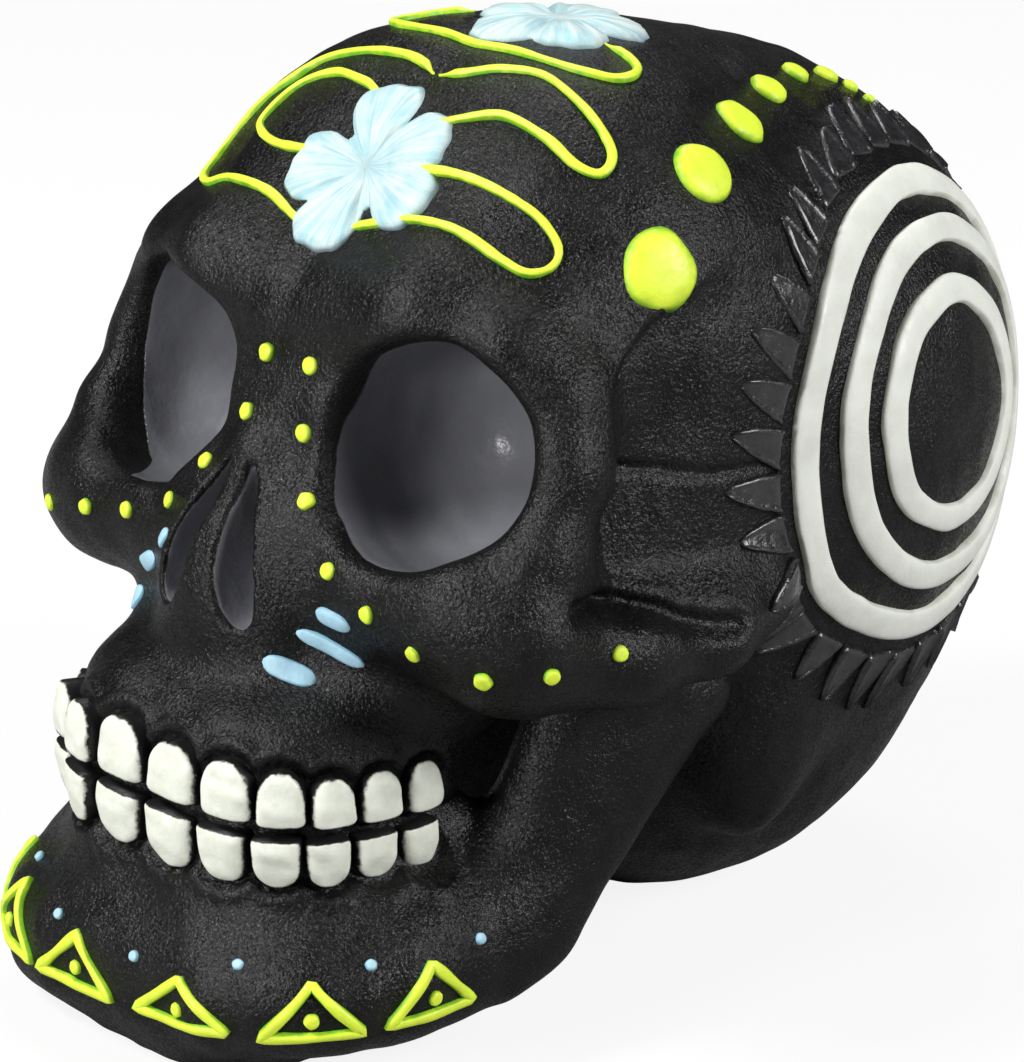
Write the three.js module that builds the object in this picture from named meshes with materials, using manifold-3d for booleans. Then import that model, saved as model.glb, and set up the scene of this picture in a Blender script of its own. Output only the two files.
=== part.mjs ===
// Sugar skull: a life-size painted display skull that stands on its jaw and on the back of its head.
// Millimetres, +Z up. The face looks along -Y, the plane X = 0 is the plane of symmetry, and +X is the
// skull's own left. The ground is Z = 0, and the origin lies on it under the middle of the length.
import * as THREE from "three";
import { mergeVertices } from "three/addons/utils/BufferGeometryUtils.js";
import Module from "manifold-3d";

const wasm = await Module();
wasm.setup();

// Driving dimensions
const SKULL_LENGTH = 203;
const SKULL_WIDTH = 143;
const SKULL_HEIGHT = 171;

// Openings of the face
const ORBIT_WIDTH = 37;
const ORBIT_HEIGHT = 41;
const ORBIT_DEPTH = 24;
const ORBIT_SPACING = 66;
const NOSTRIL_WIDTH = 10;
const NOSTRIL_HEIGHT = 30;
const NOSTRIL_DEPTH = 13;
const NOSTRIL_SPACING = 12;

// Gums and teeth
const ARCH_WIDTH = 78;
const ARCH_DEPTH = 42;
const GUM_THICKNESS = 17;
const TOOTH_HEIGHT = 11;
const TOOTH_STAND = 4;
const TOOTH_GAP = 0.9;
const BITE_GAP = 0.9;

// Raised paint
const SKIN_GAP = 0.3;
const PAINT_RISE = 1.2;
const GLOSS_RISE = 0.7;
const RING_REACH = 43;
const RING_PITCH = 9.9;
const RING_BAND = 5.9;
const SPIKE_ROOT = 1.5;
const SPIKE_LENGTH = 12;
const FLOWER_WIDTH = 35;
const SCROLL_BAND = 1.8;
const CROWN_DOT_WIDTH = 14.5;
const TRIANGLE_HEIGHT = 11;
const TRIANGLE_BAND = 2;

// Counts of the pattern and of the mesh
const SPIKE_COUNT = 36;
const RING_STEPS = { outer: 40, middle: 30, inner: 24 };
const PETAL_COUNT = 5;
const PETAL_STEPS = 6;
const DOT_STEPS = 12;
const SCROLL_STEPS = 28;
const TRIANGLE_SIDE_STEPS = 4;
const TOOTH_COLUMNS = 10;
const TOOTH_ROWS = 4;
const NOSTRIL_COLUMNS = 16;
const NOSTRIL_ROWS = 8;
const WALL_STEPS = 6;
const ARCH_SAMPLES = 240;

// The form of the skull is written in shares, on axes that are all alike. These three say how wide, how
// long and how high that form is, and the driving dimensions stretch it to its real size.
const formSpans = { width: 0.827, length: 1.1735, height: 0.988 };
const STRETCH = [
  SKULL_WIDTH / formSpans.width,
  SKULL_LENGTH / formSpans.length,
  SKULL_HEIGHT / formSpans.height,
];
const asShares = (sizes) => sizes.map((size, axis) => size / STRETCH[axis]);
const asSizes = (shares) => shares.map((share, axis) => share * STRETCH[axis]);

// Lumps: centre, half sizes, the reach of the blend with what is there, and turns in degrees. A lump
// that lies off the plane of symmetry stands for a pair.
const craniumLumpShares = [
  { name: "braincase", at: [0, 0.166, 0.567], half: [0.39, 0.362, 0.37], blend: 0.01 },
  { name: "forehead", at: [0, -0.04, 0.659], half: [0.335, 0.312, 0.329], blend: 0.092 },
  { name: "occiput", at: [0, 0.145, 0.359], half: [0.32, 0.359, 0.376], blend: 0.116 },
  { name: "frontal boss", at: [0.139, -0.11, 0.723], half: [0.194, 0.199, 0.214], blend: 0.104 },
  { name: "temple", at: [0.277, -0.116, 0.52], half: [0.085, 0.19, 0.15], blend: 0.058 },
  { name: "cheek", at: [0.265, -0.382, 0.489], half: [0.12, 0.073, 0.067], blend: 0.069, yaw: 8 },
  { name: "maxilla", at: [0, -0.382, 0.462], half: [0.148, 0.142, 0.15], blend: 0.07 },
  { name: "palate", at: [0.15, -0.3, 0.44], half: [0.12, 0.13, 0.11], blend: 0.06 },
  { name: "mastoid", at: [0.266, 0.023, 0.266], half: [0.058, 0.069, 0.127], blend: 0.058, tilt: -10 },
];

// Ridges: points with their half thickness, joined by round rods.
const craniumRidgeShares = [
  {
    name: "brow",
    blend: 0.104,
    points: [
      [0.035, -0.34, 0.734, 0.046],
      [0.15, -0.345, 0.757, 0.046],
      [0.243, -0.312, 0.74, 0.04],
      [0.283, -0.289, 0.694, 0.037],
    ],
  },
  {
    name: "orbit side",
    blend: 0.052,
    points: [
      [0.297, -0.289, 0.705, 0.03],
      [0.321, -0.306, 0.636, 0.034],
      [0.324, -0.347, 0.561, 0.039],
      [0.288, -0.382, 0.512, 0.044],
    ],
  },
  {
    name: "orbit floor",
    blend: 0.069,
    points: [
      [0.07, -0.382, 0.647, 0.03],
      [0.095, -0.4, 0.566, 0.032],
      [0.16, -0.416, 0.52, 0.033],
      [0.254, -0.408, 0.503, 0.035],
    ],
  },
  {
    name: "nose bridge",
    blend: 0.046,
    points: [
      [0, -0.347, 0.717, 0.04],
      [0, -0.376, 0.647, 0.034],
      [0, -0.425, 0.61, 0.026],
    ],
  },
  {
    name: "cheek arch",
    blend: 0.07,
    points: [
      [0.312, -0.358, 0.451, 0.052],
      [0.355, -0.254, 0.44, 0.046],
      [0.368, -0.15, 0.44, 0.038],
      [0.358, -0.075, 0.452, 0.03],
    ],
  },
];

// Eye sockets, with the reach of the rounding of their edges, and nostrils, which narrow to the top.
const orbitShares = {
  at: [ORBIT_SPACING / 2 / STRETCH[0], -0.358, 0.636],
  half: asShares([ORBIT_WIDTH / 2, ORBIT_DEPTH, ORBIT_HEIGHT / 2]),
  yaw: 10,
  roll: -12,
  edge: 0.03,
};
const nostrilShares = { front: -0.497, rise: 0.538, top: 0.2 };
const nostrilLean = 15;

// The arch of the gums, seen from above: half a squarish oval whose front is the front of the teeth.
const archBackShare = -0.358;
const archSquare = 3.2;
const upperGumShares = { low: 0.312, high: 0.335, rearLow: 0.29, rearHigh: 0.34, blend: 0.064 };
const lowerGumShares = { low: 0.196, high: 0.266, rearLow: 0.182, rearHigh: 0.231, blend: 0.046 };

// Upright walls of the jaw, seen from above as half a squarish oval: its reach to the side and to the
// front, the squareness of its corners, the ends of its height in front and at the rear.
const jawBackShare = -0.347;
const jawWallShares = [
  {
    name: "body",
    blend: 0.01,
    outline: { side: 0.213, front: 0.202, square: 2.4, half: 0.053 },
    ends: { low: 0.059, high: 0.15, rearLow: 0.14, rearHigh: 0.15 },
  },
  {
    name: "chin",
    blend: 0.058,
    outline: { side: 0.245, front: 0.247, square: 3.8, half: 0.045 },
    ends: { low: 0.073, high: 0.077, rearLow: 0.098, rearHigh: 0.1 },
  },
  {
    name: "foot",
    blend: 0.046,
    outline: { side: 0.155, front: 0.222, square: 2.4, half: 0.029 },
    ends: { low: 0.017, high: 0.046, rearLow: 0.1, rearHigh: 0.11 },
  },
];
const jawRidgeShares = [
  {
    name: "rear of the ramus",
    blend: 0.058,
    points: [
      [0.225, -0.277, 0.121, 0.043],
      [0.295, -0.098, 0.347, 0.038],
    ],
  },
  {
    name: "front of the ramus",
    blend: 0.07,
    points: [
      [0.222, -0.295, 0.155, 0.04],
      [0.268, -0.24, 0.393, 0.035],
    ],
  },
  {
    name: "middle of the ramus",
    blend: 0.081,
    points: [
      [0.226, -0.285, 0.139, 0.043],
      [0.283, -0.173, 0.37, 0.035],
    ],
  },
];
const mirrorShare = 0.006;
const wallBlendShare = 0.023;
const rodBlendShare = 0.03;

// Grid of the skin mesh: places along an axis, each with the length of a cell there.
const sideGridShares = [[0, 0.028], [0.08, 0.031], [0.17, 0.045], [0.46, 0.045]];
const lengthGridShares = [[-0.72, 0.037], [-0.3, 0.038], [0.02, 0.072], [0.66, 0.072]];
const heightGridShares = [
  [-0.08, 0.054],
  [0.25, 0.041],
  [0.36, 0.036],
  [0.74, 0.037],
  [0.9, 0.06],
  [1.06, 0.06],
];
const jawGridShares = [[-0.72, 0.04], [1, 0.04]];
const jawTopShare = 0.47;
const jawRearShare = 0;
const jawSideShare = 0.4;
const probeShare = 0.001;
const saddleShare = 0.002;
const settleShare = 0.012;

// Chart of the crown: directions in degrees round a point in the middle of the braincase. The first
// number turns from the face to the skull's left, and the second rises from the horizon.
const chartShares = [0, 0, 0.549];
const flowerPlaces = { front: [0, 50.5], top: [30, 88] };
const flowerTurns = { front: 45, top: 75 };
const petalNotchShare = 0.6;
const scrollPlaces = {
  brow_left: [[14, 50], [24, 49.5], [31, 47.9], [38, 45.2], [42.3, 42.6], [44.8, 39.2], [43.7, 36.6],
    [40.3, 35.6], [36.3, 37.2], [30.5, 40.1], [24.8, 41.8], [17, 42.5], [8, 41.2], [3.6, 40.1]],
  brow_right: [[-12, 59.5], [-20, 60], [-30.6, 58.3], [-36.3, 53.7], [-36.8, 47.7], [-34.3, 46.1],
    [-25.7, 46.4], [-14, 49]],
  side_left: [[14, 57], [20, 58], [30.9, 58.6], [41.4, 54.8], [47.9, 50.3], [52.7, 49.1], [55.1, 52.6],
    [50.3, 59.8], [39.4, 66.4], [24.2, 68.1], [12, 67], [1.4, 66]],
  side_right: [[-1.4, 66], [-9, 67], [-19.3, 66.6], [-30.9, 64], [-41, 58.5], [-43.5, 51.9], [-45.5, 46],
    [-45.5, 40], [-40, 36.3], [-33.7, 36.4], [-27.7, 39], [-17.2, 40.7], [-6.4, 39.2], [0, 40]],
  crown: [[70, 76.5], [74, 72], [71.9, 68], [62.5, 65.9], [51.8, 67.6], [25, 72.9], [0, 73.8],
    [-25, 72.9], [-51.8, 67.6], [-62.5, 65.9], [-71.9, 68], [-74, 72], [-70, 76.5]],
};
const crownDotPlaces = [[61, 36.5], [75, 49.3], [98, 57.5], [127, 59.5], [147, 55.5], [155, 49.5]];
const crownDotShares = [1, 0.76, 0.65, 0.52, 0.42, 0.36];
const rimRiseShare = 0.6;
const landingShare = 0.06;

// The medallion on each side: the place of its centre, and how much narrower each ring is than high.
const medallionShares = [0.214, 0.591];
const ringWidthShares = { outer: 0.975, middle: 0.945, inner: 0.92 };

// Teeth from the middle to the rear: their shares of half the arch, and the height of the bite.
const toothWidthShares = [0.207, 0.18, 0.166, 0.152, 0.152, 0.143];
const toothHeightShares = [1, 0.95, 0.9, 0.84, 0.8, 0.82];
const biteShares = { front: 0.277, rear: 0.262 };
const toothRoundShare = 0.55;

// Chin triangles from the middle to the rear: how far along the chin they stand, and their width. The
// row says the height of their middle, in front and at the rear of the chin.
const triangleShares = {
  left: [[0.1, 0.14], [0.257, 0.11], [0.387, 0.12]],
  right: [[0.06, 0.115], [0.185, 0.104], [0.306, 0.104]],
};
const triangleRowShares = { front: 0.087, rear: 0.13 };

// Distances

const softMin = (a, b, reach) => {
  const lap = Math.max(reach - Math.abs(a - b), 0) / reach;
  return Math.min(a, b) - (lap * lap * reach) / 4;
};

const softMax = (a, b, reach) => -softMin(-a, -b, reach);

const mirrored = ([x, y, z]) => [Math.hypot(x, mirrorShare), y, z];

function turned(a, b, degrees = 0) {
  const angle = THREE.MathUtils.degToRad(degrees);
  return [a * Math.cos(angle) + b * Math.sin(angle), b * Math.cos(angle) - a * Math.sin(angle)];
}

function lumpDistance(place, { at, half, yaw, roll, tilt }) {
  let [x, y, z] = (at[0] === 0 ? place : mirrored(place)).map((value, axis) => value - at[axis]);
  [x, y] = turned(x, y, yaw);
  [x, z] = turned(x, z, roll);
  [y, z] = turned(y, z, tilt);
  const near = Math.hypot(x / half[0], y / half[1], z / half[2]);
  const slope = Math.hypot(x / half[0] ** 2, y / half[1] ** 2, z / half[2] ** 2);
  return slope > 0 ? (near * (near - 1)) / slope : -Math.min(...half);
}

function rodDistance(place, from, to) {
  const along = [0, 1, 2].map((axis) => to[axis] - from[axis]);
  const offset = [0, 1, 2].map((axis) => place[axis] - from[axis]);
  const dot = along.reduce((sum, value, axis) => sum + value * offset[axis], 0);
  const part = THREE.MathUtils.clamp(dot / along.reduce((sum, value) => sum + value * value, 0), 0, 1);
  const off = Math.hypot(...offset.map((value, axis) => value - part * along[axis]));
  return off - THREE.MathUtils.lerp(from[3], to[3], part);
}

function ridgeDistance(place, { points }) {
  const side = points.some((point) => point[0] !== 0) ? mirrored(place) : place;
  return points
    .slice(1)
    .map((point, k) => rodDistance(side, points[k], point))
    .reduce((a, b) => softMin(a, b, rodBlendShare));
}

// An upright wall with a round rim, along a row of plan points on one side.
function wallDistance(place, plan) {
  const [x, y, z] = mirrored(place);
  return plan
    .slice(1)
    .map((to, k) => {
      const from = plan[k];
      const dx = to.x - from.x;
      const dy = to.y - from.y;
      const part = THREE.MathUtils.clamp(((x - from.x) * dx + (y - from.y) * dy) / (dx * dx + dy * dy), 0, 1);
      const mix = (key) => THREE.MathUtils.lerp(from[key], to[key], part);
      const rise = z - THREE.MathUtils.clamp(z, mix("low"), mix("high"));
      return Math.hypot(x - mix("x"), y - mix("y"), rise) - mix("half");
    })
    .reduce((a, b) => softMin(a, b, wallBlendShare));
}

// Plan points of half an oval that opens to the rear.
function halfOval({ side, front, back, square, half, low, high, rearLow, rearHigh }) {
  return Array.from({ length: WALL_STEPS + 1 }, (_, k) => {
    const angle = ((k / WALL_STEPS) * Math.PI) / 2;
    const behind = 1 - Math.cos(angle);
    return {
      x: side * Math.sin(angle) ** (2 / square),
      y: back - front * Math.cos(angle) ** (2 / square),
      low: THREE.MathUtils.lerp(low, rearLow, behind),
      high: THREE.MathUtils.lerp(high, rearHigh, behind),
      half,
    };
  });
}

const gumHalf = asShares([GUM_THICKNESS / 2, GUM_THICKNESS / 2, GUM_THICKNESS / 2]);
const gumPlan = (shares) =>
  halfOval({
    ...shares,
    side: (ARCH_WIDTH / 2 - TOOTH_STAND) / STRETCH[0] - gumHalf[0],
    front: (ARCH_DEPTH - TOOTH_STAND) / STRETCH[1] - gumHalf[1],
    back: archBackShare,
    square: archSquare,
    half: gumHalf[2],
  });
const upperGumPlan = gumPlan(upperGumShares);
const lowerGumPlan = gumPlan(lowerGumShares);
const jawPlans = jawWallShares.map(({ blend, outline, ends }) => {
  const plan = halfOval({ ...outline, ...ends, back: jawBackShare });
  return { plan, blend };
});

const joined = (place, distance, shapes, measure) =>
  shapes.reduce((sum, shape) => softMin(sum, measure(place, shape), shape.blend), distance);

function craniumForm(place) {
  let distance = joined(place, Infinity, craniumLumpShares, lumpDistance);
  distance = joined(place, distance, craniumRidgeShares, ridgeDistance);
  distance = softMin(distance, wallDistance(place, upperGumPlan), upperGumShares.blend);
  return softMax(distance, -lumpDistance(place, orbitShares), orbitShares.edge);
}

function jawForm(place) {
  let distance = joined(place, Infinity, jawPlans, (q, wall) => wallDistance(q, wall.plan));
  distance = joined(place, distance, jawRidgeShares, ridgeDistance);
  return softMin(distance, wallDistance(place, lowerGumPlan), lowerGumShares.blend);
}

// Slope of a form at a place, in real sizes, and the way out of the form there.
function slopeOf(form, point) {
  const place = asShares(point.toArray());
  const slope = place.map((value, axis) => {
    const ahead = [...place];
    const behind = [...place];
    ahead[axis] += probeShare;
    behind[axis] -= probeShare;
    return (form(ahead) - form(behind)) / (2 * probeShare) / STRETCH[axis];
  });
  return new THREE.Vector3(...slope);
}

const wayOut = (form, point) => slopeOf(form, point).normalize();

// Skin mesh: one vertex in each cell that the form's surface passes through

function gridLines(from, to, cells) {
  const lines = [from];
  while (lines.at(-1) < to) {
    const here = lines.at(-1);
    const next = cells.findIndex(([place]) => place > here);
    const [a, cellA] = cells[Math.max(next < 0 ? cells.length - 1 : next - 1, 0)];
    const [b, cellB] = cells[next < 0 ? cells.length - 1 : next];
    lines.push(here + (a === b ? cellA : THREE.MathUtils.mapLinear(here, a, b, cellA, cellB)));
  }
  return lines;
}

function evenLines(reach, cells) {
  const half = gridLines(cells[0][1] / 2, reach, cells);
  return [...half.map((value) => -value).reverse(), ...half];
}

const corners = [0, 1, 2, 3, 4, 5, 6, 7].map((n) => [n & 1, (n >> 1) & 1, (n >> 2) & 1]);

// Where the surface would touch itself, at a square or a cell whose corners alternate, one more corner
// is filled, so that each cell holds one piece of the surface.
function fillSaddles(value, count, index) {
  const squares = [[1, 2], [2, 4], [4, 1]].flatMap(([u, v]) =>
    [0, 7 - u - v].map((n) => [n, n + u, n + u + v, n + v]),
  );
  let changed = true;
  const fill = (a, b) => {
    value[value[a] < value[b] ? a : b] = -saddleShare;
    changed = true;
  };
  while (changed) {
    changed = false;
    for (let i = 0; i + 1 < count[0]; i++)
      for (let j = 0; j + 1 < count[1]; j++)
        for (let k = 0; k + 1 < count[2]; k++) {
          const cell = corners.map((corner) => index(i + corner[0], j + corner[1], k + corner[2]));
          const inside = (n) => value[cell[n]] < 0;
          for (const [a, b, c, d] of squares)
            if (inside(a) === inside(c) && inside(b) === inside(d) && inside(a) !== inside(b)) {
              if (inside(a)) fill(cell[b], cell[d]);
              else fill(cell[a], cell[c]);
            }
          for (const n of [0, 1, 2, 3]) {
            const rest = corners.map((_, m) => m).filter((m) => m !== n && m !== 7 - n);
            if (inside(n) !== inside(7 - n) || rest.some((m) => inside(m) === inside(n))) continue;
            if (inside(n)) fill(cell[rest[0]], cell[rest[1]]);
            else fill(cell[n], cell[7 - n]);
          }
        }
  }
}

function skinGeometry(form, lines) {
  const count = lines.map((line) => line.length);
  const index = (i, j, k) => (i * count[1] + j) * count[2] + k;
  const value = new Float64Array(count[0] * count[1] * count[2]);
  for (let i = 0; i < count[0]; i++)
    for (let j = 0; j < count[1]; j++)
      for (let k = 0; k < count[2]; k++)
        value[index(i, j, k)] = form([lines[0][i], lines[1][j], lines[2][k]]);

  fillSaddles(value, count, index);
  const edges = corners.flatMap((a, m) =>
    [1, 2, 4].filter((step) => !(m & step)).map((step) => [a, corners[m + step]]),
  );
  const vertexOf = new Map();
  const positions = [];
  for (let i = 0; i + 1 < count[0]; i++)
    for (let j = 0; j + 1 < count[1]; j++)
      for (let k = 0; k + 1 < count[2]; k++) {
        const sum = [0, 0, 0];
        let crossings = 0;
        for (const [a, b] of edges) {
          const va = value[index(i + a[0], j + a[1], k + a[2])];
          const vb = value[index(i + b[0], j + b[1], k + b[2])];
          if (va < 0 === vb < 0) continue;
          const part = va / (va - vb);
          crossings++;
          [i, j, k].forEach((cell, axis) => {
            const low = lines[axis][cell + a[axis]];
            sum[axis] += THREE.MathUtils.lerp(low, lines[axis][cell + b[axis]], part);
          });
        }
        if (!crossings) continue;
        vertexOf.set(index(i, j, k), positions.length / 3);
        positions.push(...settled(form, sum.map((total) => total / crossings)));
      }

  const faces = [];
  const at = (n) => new THREE.Vector3(...positions.slice(3 * n, 3 * n + 3));
  for (let i = 1; i + 1 < count[0]; i++)
    for (let j = 1; j + 1 < count[1]; j++)
      for (let k = 1; k + 1 < count[2]; k++)
        for (const axis of [0, 1, 2]) {
          const here = [i, j, k];
          const ahead = [...here];
          ahead[axis]++;
          const inside = value[index(...here)] < 0;
          if (inside === value[index(...ahead)] < 0) continue;
          const [u, v] = [(axis + 1) % 3, (axis + 2) % 3];
          const cell = (du, dv) => {
            const corner = [...here];
            corner[u] -= du;
            corner[v] -= dv;
            return vertexOf.get(index(...corner));
          };
          const loop = [cell(1, 1), cell(0, 1), cell(0, 0), cell(1, 0)];
          if (!inside) loop.reverse();
          const [a, b, c, d] = loop;
          if (at(a).distanceTo(at(c)) < at(b).distanceTo(at(d))) faces.push(a, b, c, a, c, d);
          else faces.push(a, b, d, b, c, d);
        }
  return meshOf(positions, faces);
}

// Moves a vertex of the grid onto the surface, and gives it in real sizes.
function settled(form, place) {
  const point = new THREE.Vector3(...asSizes(place));
  for (let pass = 0; pass < 3; pass++) {
    const slope = slopeOf(form, point);
    const step = slope.multiplyScalar(-form(asShares(point.toArray())) / slope.lengthSq());
    point.add(step.clampLength(0, settleShare * STRETCH[2]));
  }
  return point.toArray();
}

// Solids

function meshOf(positions, faces) {
  const geometry = new THREE.BufferGeometry();
  geometry.setAttribute("position", new THREE.Float32BufferAttribute(positions, 3));
  geometry.setIndex(faces);
  return geometry;
}

function solidOf(geometry) {
  const bare = geometry.clone();
  bare.deleteAttribute("normal");
  bare.deleteAttribute("uv");
  const merged = mergeVertices(bare);
  const vertProperties = new Float32Array(merged.getAttribute("position").array);
  const triVerts = new Uint32Array(merged.index.array);
  const solid = new wasm.Manifold(new wasm.Mesh({ numProp: 3, vertProperties, triVerts }));
  if (solid.volume() > 0) return solid;
  return new wasm.Manifold(new wasm.Mesh({ numProp: 3, vertProperties, triVerts: triVerts.reverse() }));
}

function geometryOf(solid) {
  const { vertProperties, triVerts } = solid.getMesh();
  return meshOf([...vertProperties], [...triVerts]);
}

// The same skin, moved out by the gap that paint, teeth and jaw keep to it.
function grown(solid, form) {
  const larger = geometryOf(solid);
  const position = larger.getAttribute("position");
  const point = new THREE.Vector3();
  for (let n = 0; n < position.count; n++) {
    point.fromBufferAttribute(position, n);
    point.addScaledVector(wayOut(form, point), SKIN_GAP);
    position.setXYZ(n, ...point);
  }
  return solidOf(larger);
}

// Everything below the ground, which cuts the flats that the skull stands on.
function underground() {
  const slab = new THREE.BoxGeometry(2 * SKULL_WIDTH, 2 * SKULL_LENGTH, SKULL_HEIGHT);
  slab.translate(0, 0, -SKULL_HEIGHT / 2);
  return solidOf(slab);
}

// An egg that cuts one nostril, blunt below and narrow above, whose top leans to the middle.
function nostrilCutter(side) {
  const egg = new THREE.SphereGeometry(1, NOSTRIL_COLUMNS, NOSTRIL_ROWS).rotateX(Math.PI / 2);
  const position = egg.getAttribute("position");
  for (let n = 0; n < position.count; n++) {
    const slimness = THREE.MathUtils.lerp(1, nostrilShares.top, (position.getZ(n) + 1) / 2);
    position.setX(n, position.getX(n) * slimness);
  }
  egg.scale(NOSTRIL_WIDTH / 2, NOSTRIL_DEPTH, NOSTRIL_HEIGHT / 2);
  egg.rotateY(-side * THREE.MathUtils.degToRad(nostrilLean));
  const middle = asSizes([0, nostrilShares.front, nostrilShares.rise]);
  return solidOf(egg.translate((side * NOSTRIL_SPACING) / 2, middle[1], middle[2]));
}

// A carrier keeps its mesh for landing paint on it, its form for the way out, and its grown solid.
function carrier(form, lines, cutters, neighbours) {
  const skin = solidOf(skinGeometry(form, lines));
  const whole = cutters.reduce((solid, cutter) => solid.subtract(cutter), skin);
  const geometry = seated(whole, neighbours);
  const target = new THREE.Mesh(geometry, new THREE.MeshBasicMaterial({ side: THREE.DoubleSide }));
  return { form, geometry, target, grown: grown(whole, form) };
}

// A piece with the grown solids of its carriers cut away, which leaves the gap between them.
const seated = (solid, carriers) =>
  geometryOf(carriers.reduce((piece, body) => piece.subtract(body.grown), solid));

// Where a ray first meets a carrier: on its mesh, or over it on its form where that lies further out.
function landing({ form, target }, from, way) {
  const [hit] = new THREE.Raycaster(from, way).intersectObject(target);
  if (!hit) throw new Error("a ray misses the skull at " + from.toArray().map(Math.round));
  const slope = slopeOf(form, hit.point);
  const depth = -form(asShares(hit.point.toArray())) / slope.length();
  const out = slope.normalize();
  return { point: hit.point.addScaledVector(out, Math.max(depth, 0)), out };
}

// Where a place beside a landing meets the skin, along the way in.
function beside(body, { point, out }, offset) {
  const from = point.clone().add(offset).addScaledVector(out, landingShare * STRETCH[2]);
  return landing(body, from, out.clone().negate());
}

const chartLanding = (body, [turn, rise]) => {
  const way = new THREE.Vector3().setFromSphericalCoords(
    1,
    THREE.MathUtils.degToRad(90 - rise),
    THREE.MathUtils.degToRad(turn),
  );
  const out = new THREE.Vector3(way.x, -way.z, way.y);
  const from = new THREE.Vector3(...asSizes(chartShares)).addScaledVector(out, SKULL_LENGTH);
  return landing(body, from, out.negate());
};

// Lifts the landings at both ends of a span where the skin bulges over the span's middle.
function cleared(body, rows, spans) {
  const lifted = rows.map((row) => row.map(({ point, out }) => ({ point: point.clone(), out, lift: 0 })));
  const clear = (a, b) => {
    if (!a || !b) return;
    const middle = { point: a.point.clone().lerp(b.point, 1 / 2), out: a.out.clone().add(b.out).normalize() };
    const skin = beside(body, middle, new THREE.Vector3());
    const bulge = skin.point.sub(middle.point).dot(middle.out);
    a.lift = Math.max(a.lift, bulge);
    b.lift = Math.max(b.lift, bulge);
  };
  for (let row = 0; row < rows.length; row++)
    lifted[row].forEach((spot, m) => {
      clear(spot, lifted[row][m + 1]);
      if (row >= spans) return;
      const next = lifted[(row + 1) % rows.length];
      clear(spot, next[m]);
      clear(spot, next[m - 1]);
    });
  const raised = ({ point, out, lift }) => ({ point: point.addScaledVector(out, lift), out });
  return lifted.map((row) => row.map(raised));
}

// A plate on the skin: rows of landings across it, with a top and an underside.
function plate(body, places, { closed, rise }) {
  const spans = closed ? places.length : places.length - 1;
  const rows = cleared(body, places, spans);
  const positions = [];
  const faces = [];
  const across = rows[0].length;
  for (const row of rows) {
    for (const { point, out } of row) positions.push(...point.clone().addScaledVector(out, SKIN_GAP + rise));
    for (const { point, out } of row) positions.push(...point.clone().addScaledVector(out, SKIN_GAP));
  }
  const ring = [
    ...Array.from({ length: across }, (_, m) => m),
    ...Array.from({ length: across }, (_, m) => 2 * across - 1 - m),
  ];
  const id = (row, m) => (row % rows.length) * 2 * across + ring[m % ring.length];
  for (let row = 0; row < spans; row++)
    for (let m = 0; m < ring.length; m++) {
      faces.push(id(row, m), id(row, m + 1), id(row + 1, m + 1));
      faces.push(id(row, m), id(row + 1, m + 1), id(row + 1, m));
    }
  if (!closed)
    for (let m = 0; m + 1 < across; m++) {
      const [a, b, c, d] = [m, m + 1, ring.length - 2 - m, ring.length - 1 - m];
      faces.push(id(0, a), id(0, c), id(0, b), id(0, a), id(0, d), id(0, c));
      const last = rows.length - 1;
      faces.push(id(last, a), id(last, b), id(last, c), id(last, a), id(last, c), id(last, d));
    }
  return geometryOf(solidOf(meshOf(positions, faces)));
}

// A round patch on the skin, whose outline is a radius for each angle.
function patch(body, centre, reach, { steps, rings }) {
  const east = new THREE.Vector3(-centre.out.y, centre.out.x, 0).normalize();
  const north = centre.out.clone().cross(east);
  const positions = [];
  const add = (spot, rise) => positions.push(...spot.point.clone().addScaledVector(spot.out, rise));
  const spots = [centre];
  for (let ring = 1; ring <= rings; ring++)
    for (let k = 0; k < steps; k++) {
      const angle = (2 * Math.PI * k) / steps;
      const far = (reach(angle) * ring) / rings;
      const offset = east.clone().multiplyScalar(far * Math.cos(angle));
      spots.push(beside(body, centre, offset.addScaledVector(north, far * Math.sin(angle))));
    }
  spots.forEach((spot, n) => {
    const rim = n > (rings - 1) * steps;
    add(spot, SKIN_GAP + PAINT_RISE * (rim ? rimRiseShare : 1));
  });
  spots.forEach((spot) => add(spot, SKIN_GAP));
  const faces = [];
  const id = (ring, k) => (ring === 0 ? 0 : 1 + (ring - 1) * steps + (k % steps));
  const below = (n) => n + spots.length;
  for (let k = 0; k < steps; k++) {
    for (let ring = 0; ring < rings; ring++) {
      const [a, b, c, d] = [id(ring, k), id(ring + 1, k), id(ring + 1, k + 1), id(ring, k + 1)];
      faces.push(a, b, c, below(a), below(c), below(b));
      if (ring > 0) faces.push(a, c, d, below(a), below(d), below(c));
    }
    const [a, b] = [id(rings, k), id(rings, k + 1)];
    faces.push(a, below(a), b, b, below(a), below(b));
  }
  return geometryOf(solidOf(meshOf(positions, faces)));
}

// Moves a landing off along the skin until it is clear of each hindrance.
function movedClear(body, spot, hindrances) {
  return hindrances.reduce((at, { point, clear }) => {
    const away = at.point.clone().sub(point);
    const short = clear - away.length();
    if (short <= 0) return at;
    return beside(body, at, away.projectOnPlane(at.out).setLength(short));
  }, spot);
}

// Landings along a path, each with the way across the path.
function framed(path, closed) {
  return path.map((spot, k) => {
    const before = path[closed ? (k + path.length - 1) % path.length : Math.max(k - 1, 0)];
    const after = path[closed ? (k + 1) % path.length : Math.min(k + 1, path.length - 1)];
    const along = after.point.clone().sub(before.point);
    return { ...spot, across: along.cross(spot.out).normalize() };
  });
}

const banded = (body, path, offsets) =>
  path.map((spot, k) =>
    offsets(k).map((offset) => beside(body, spot, spot.across.clone().multiplyScalar(offset))),
  );

// Pieces

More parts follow.
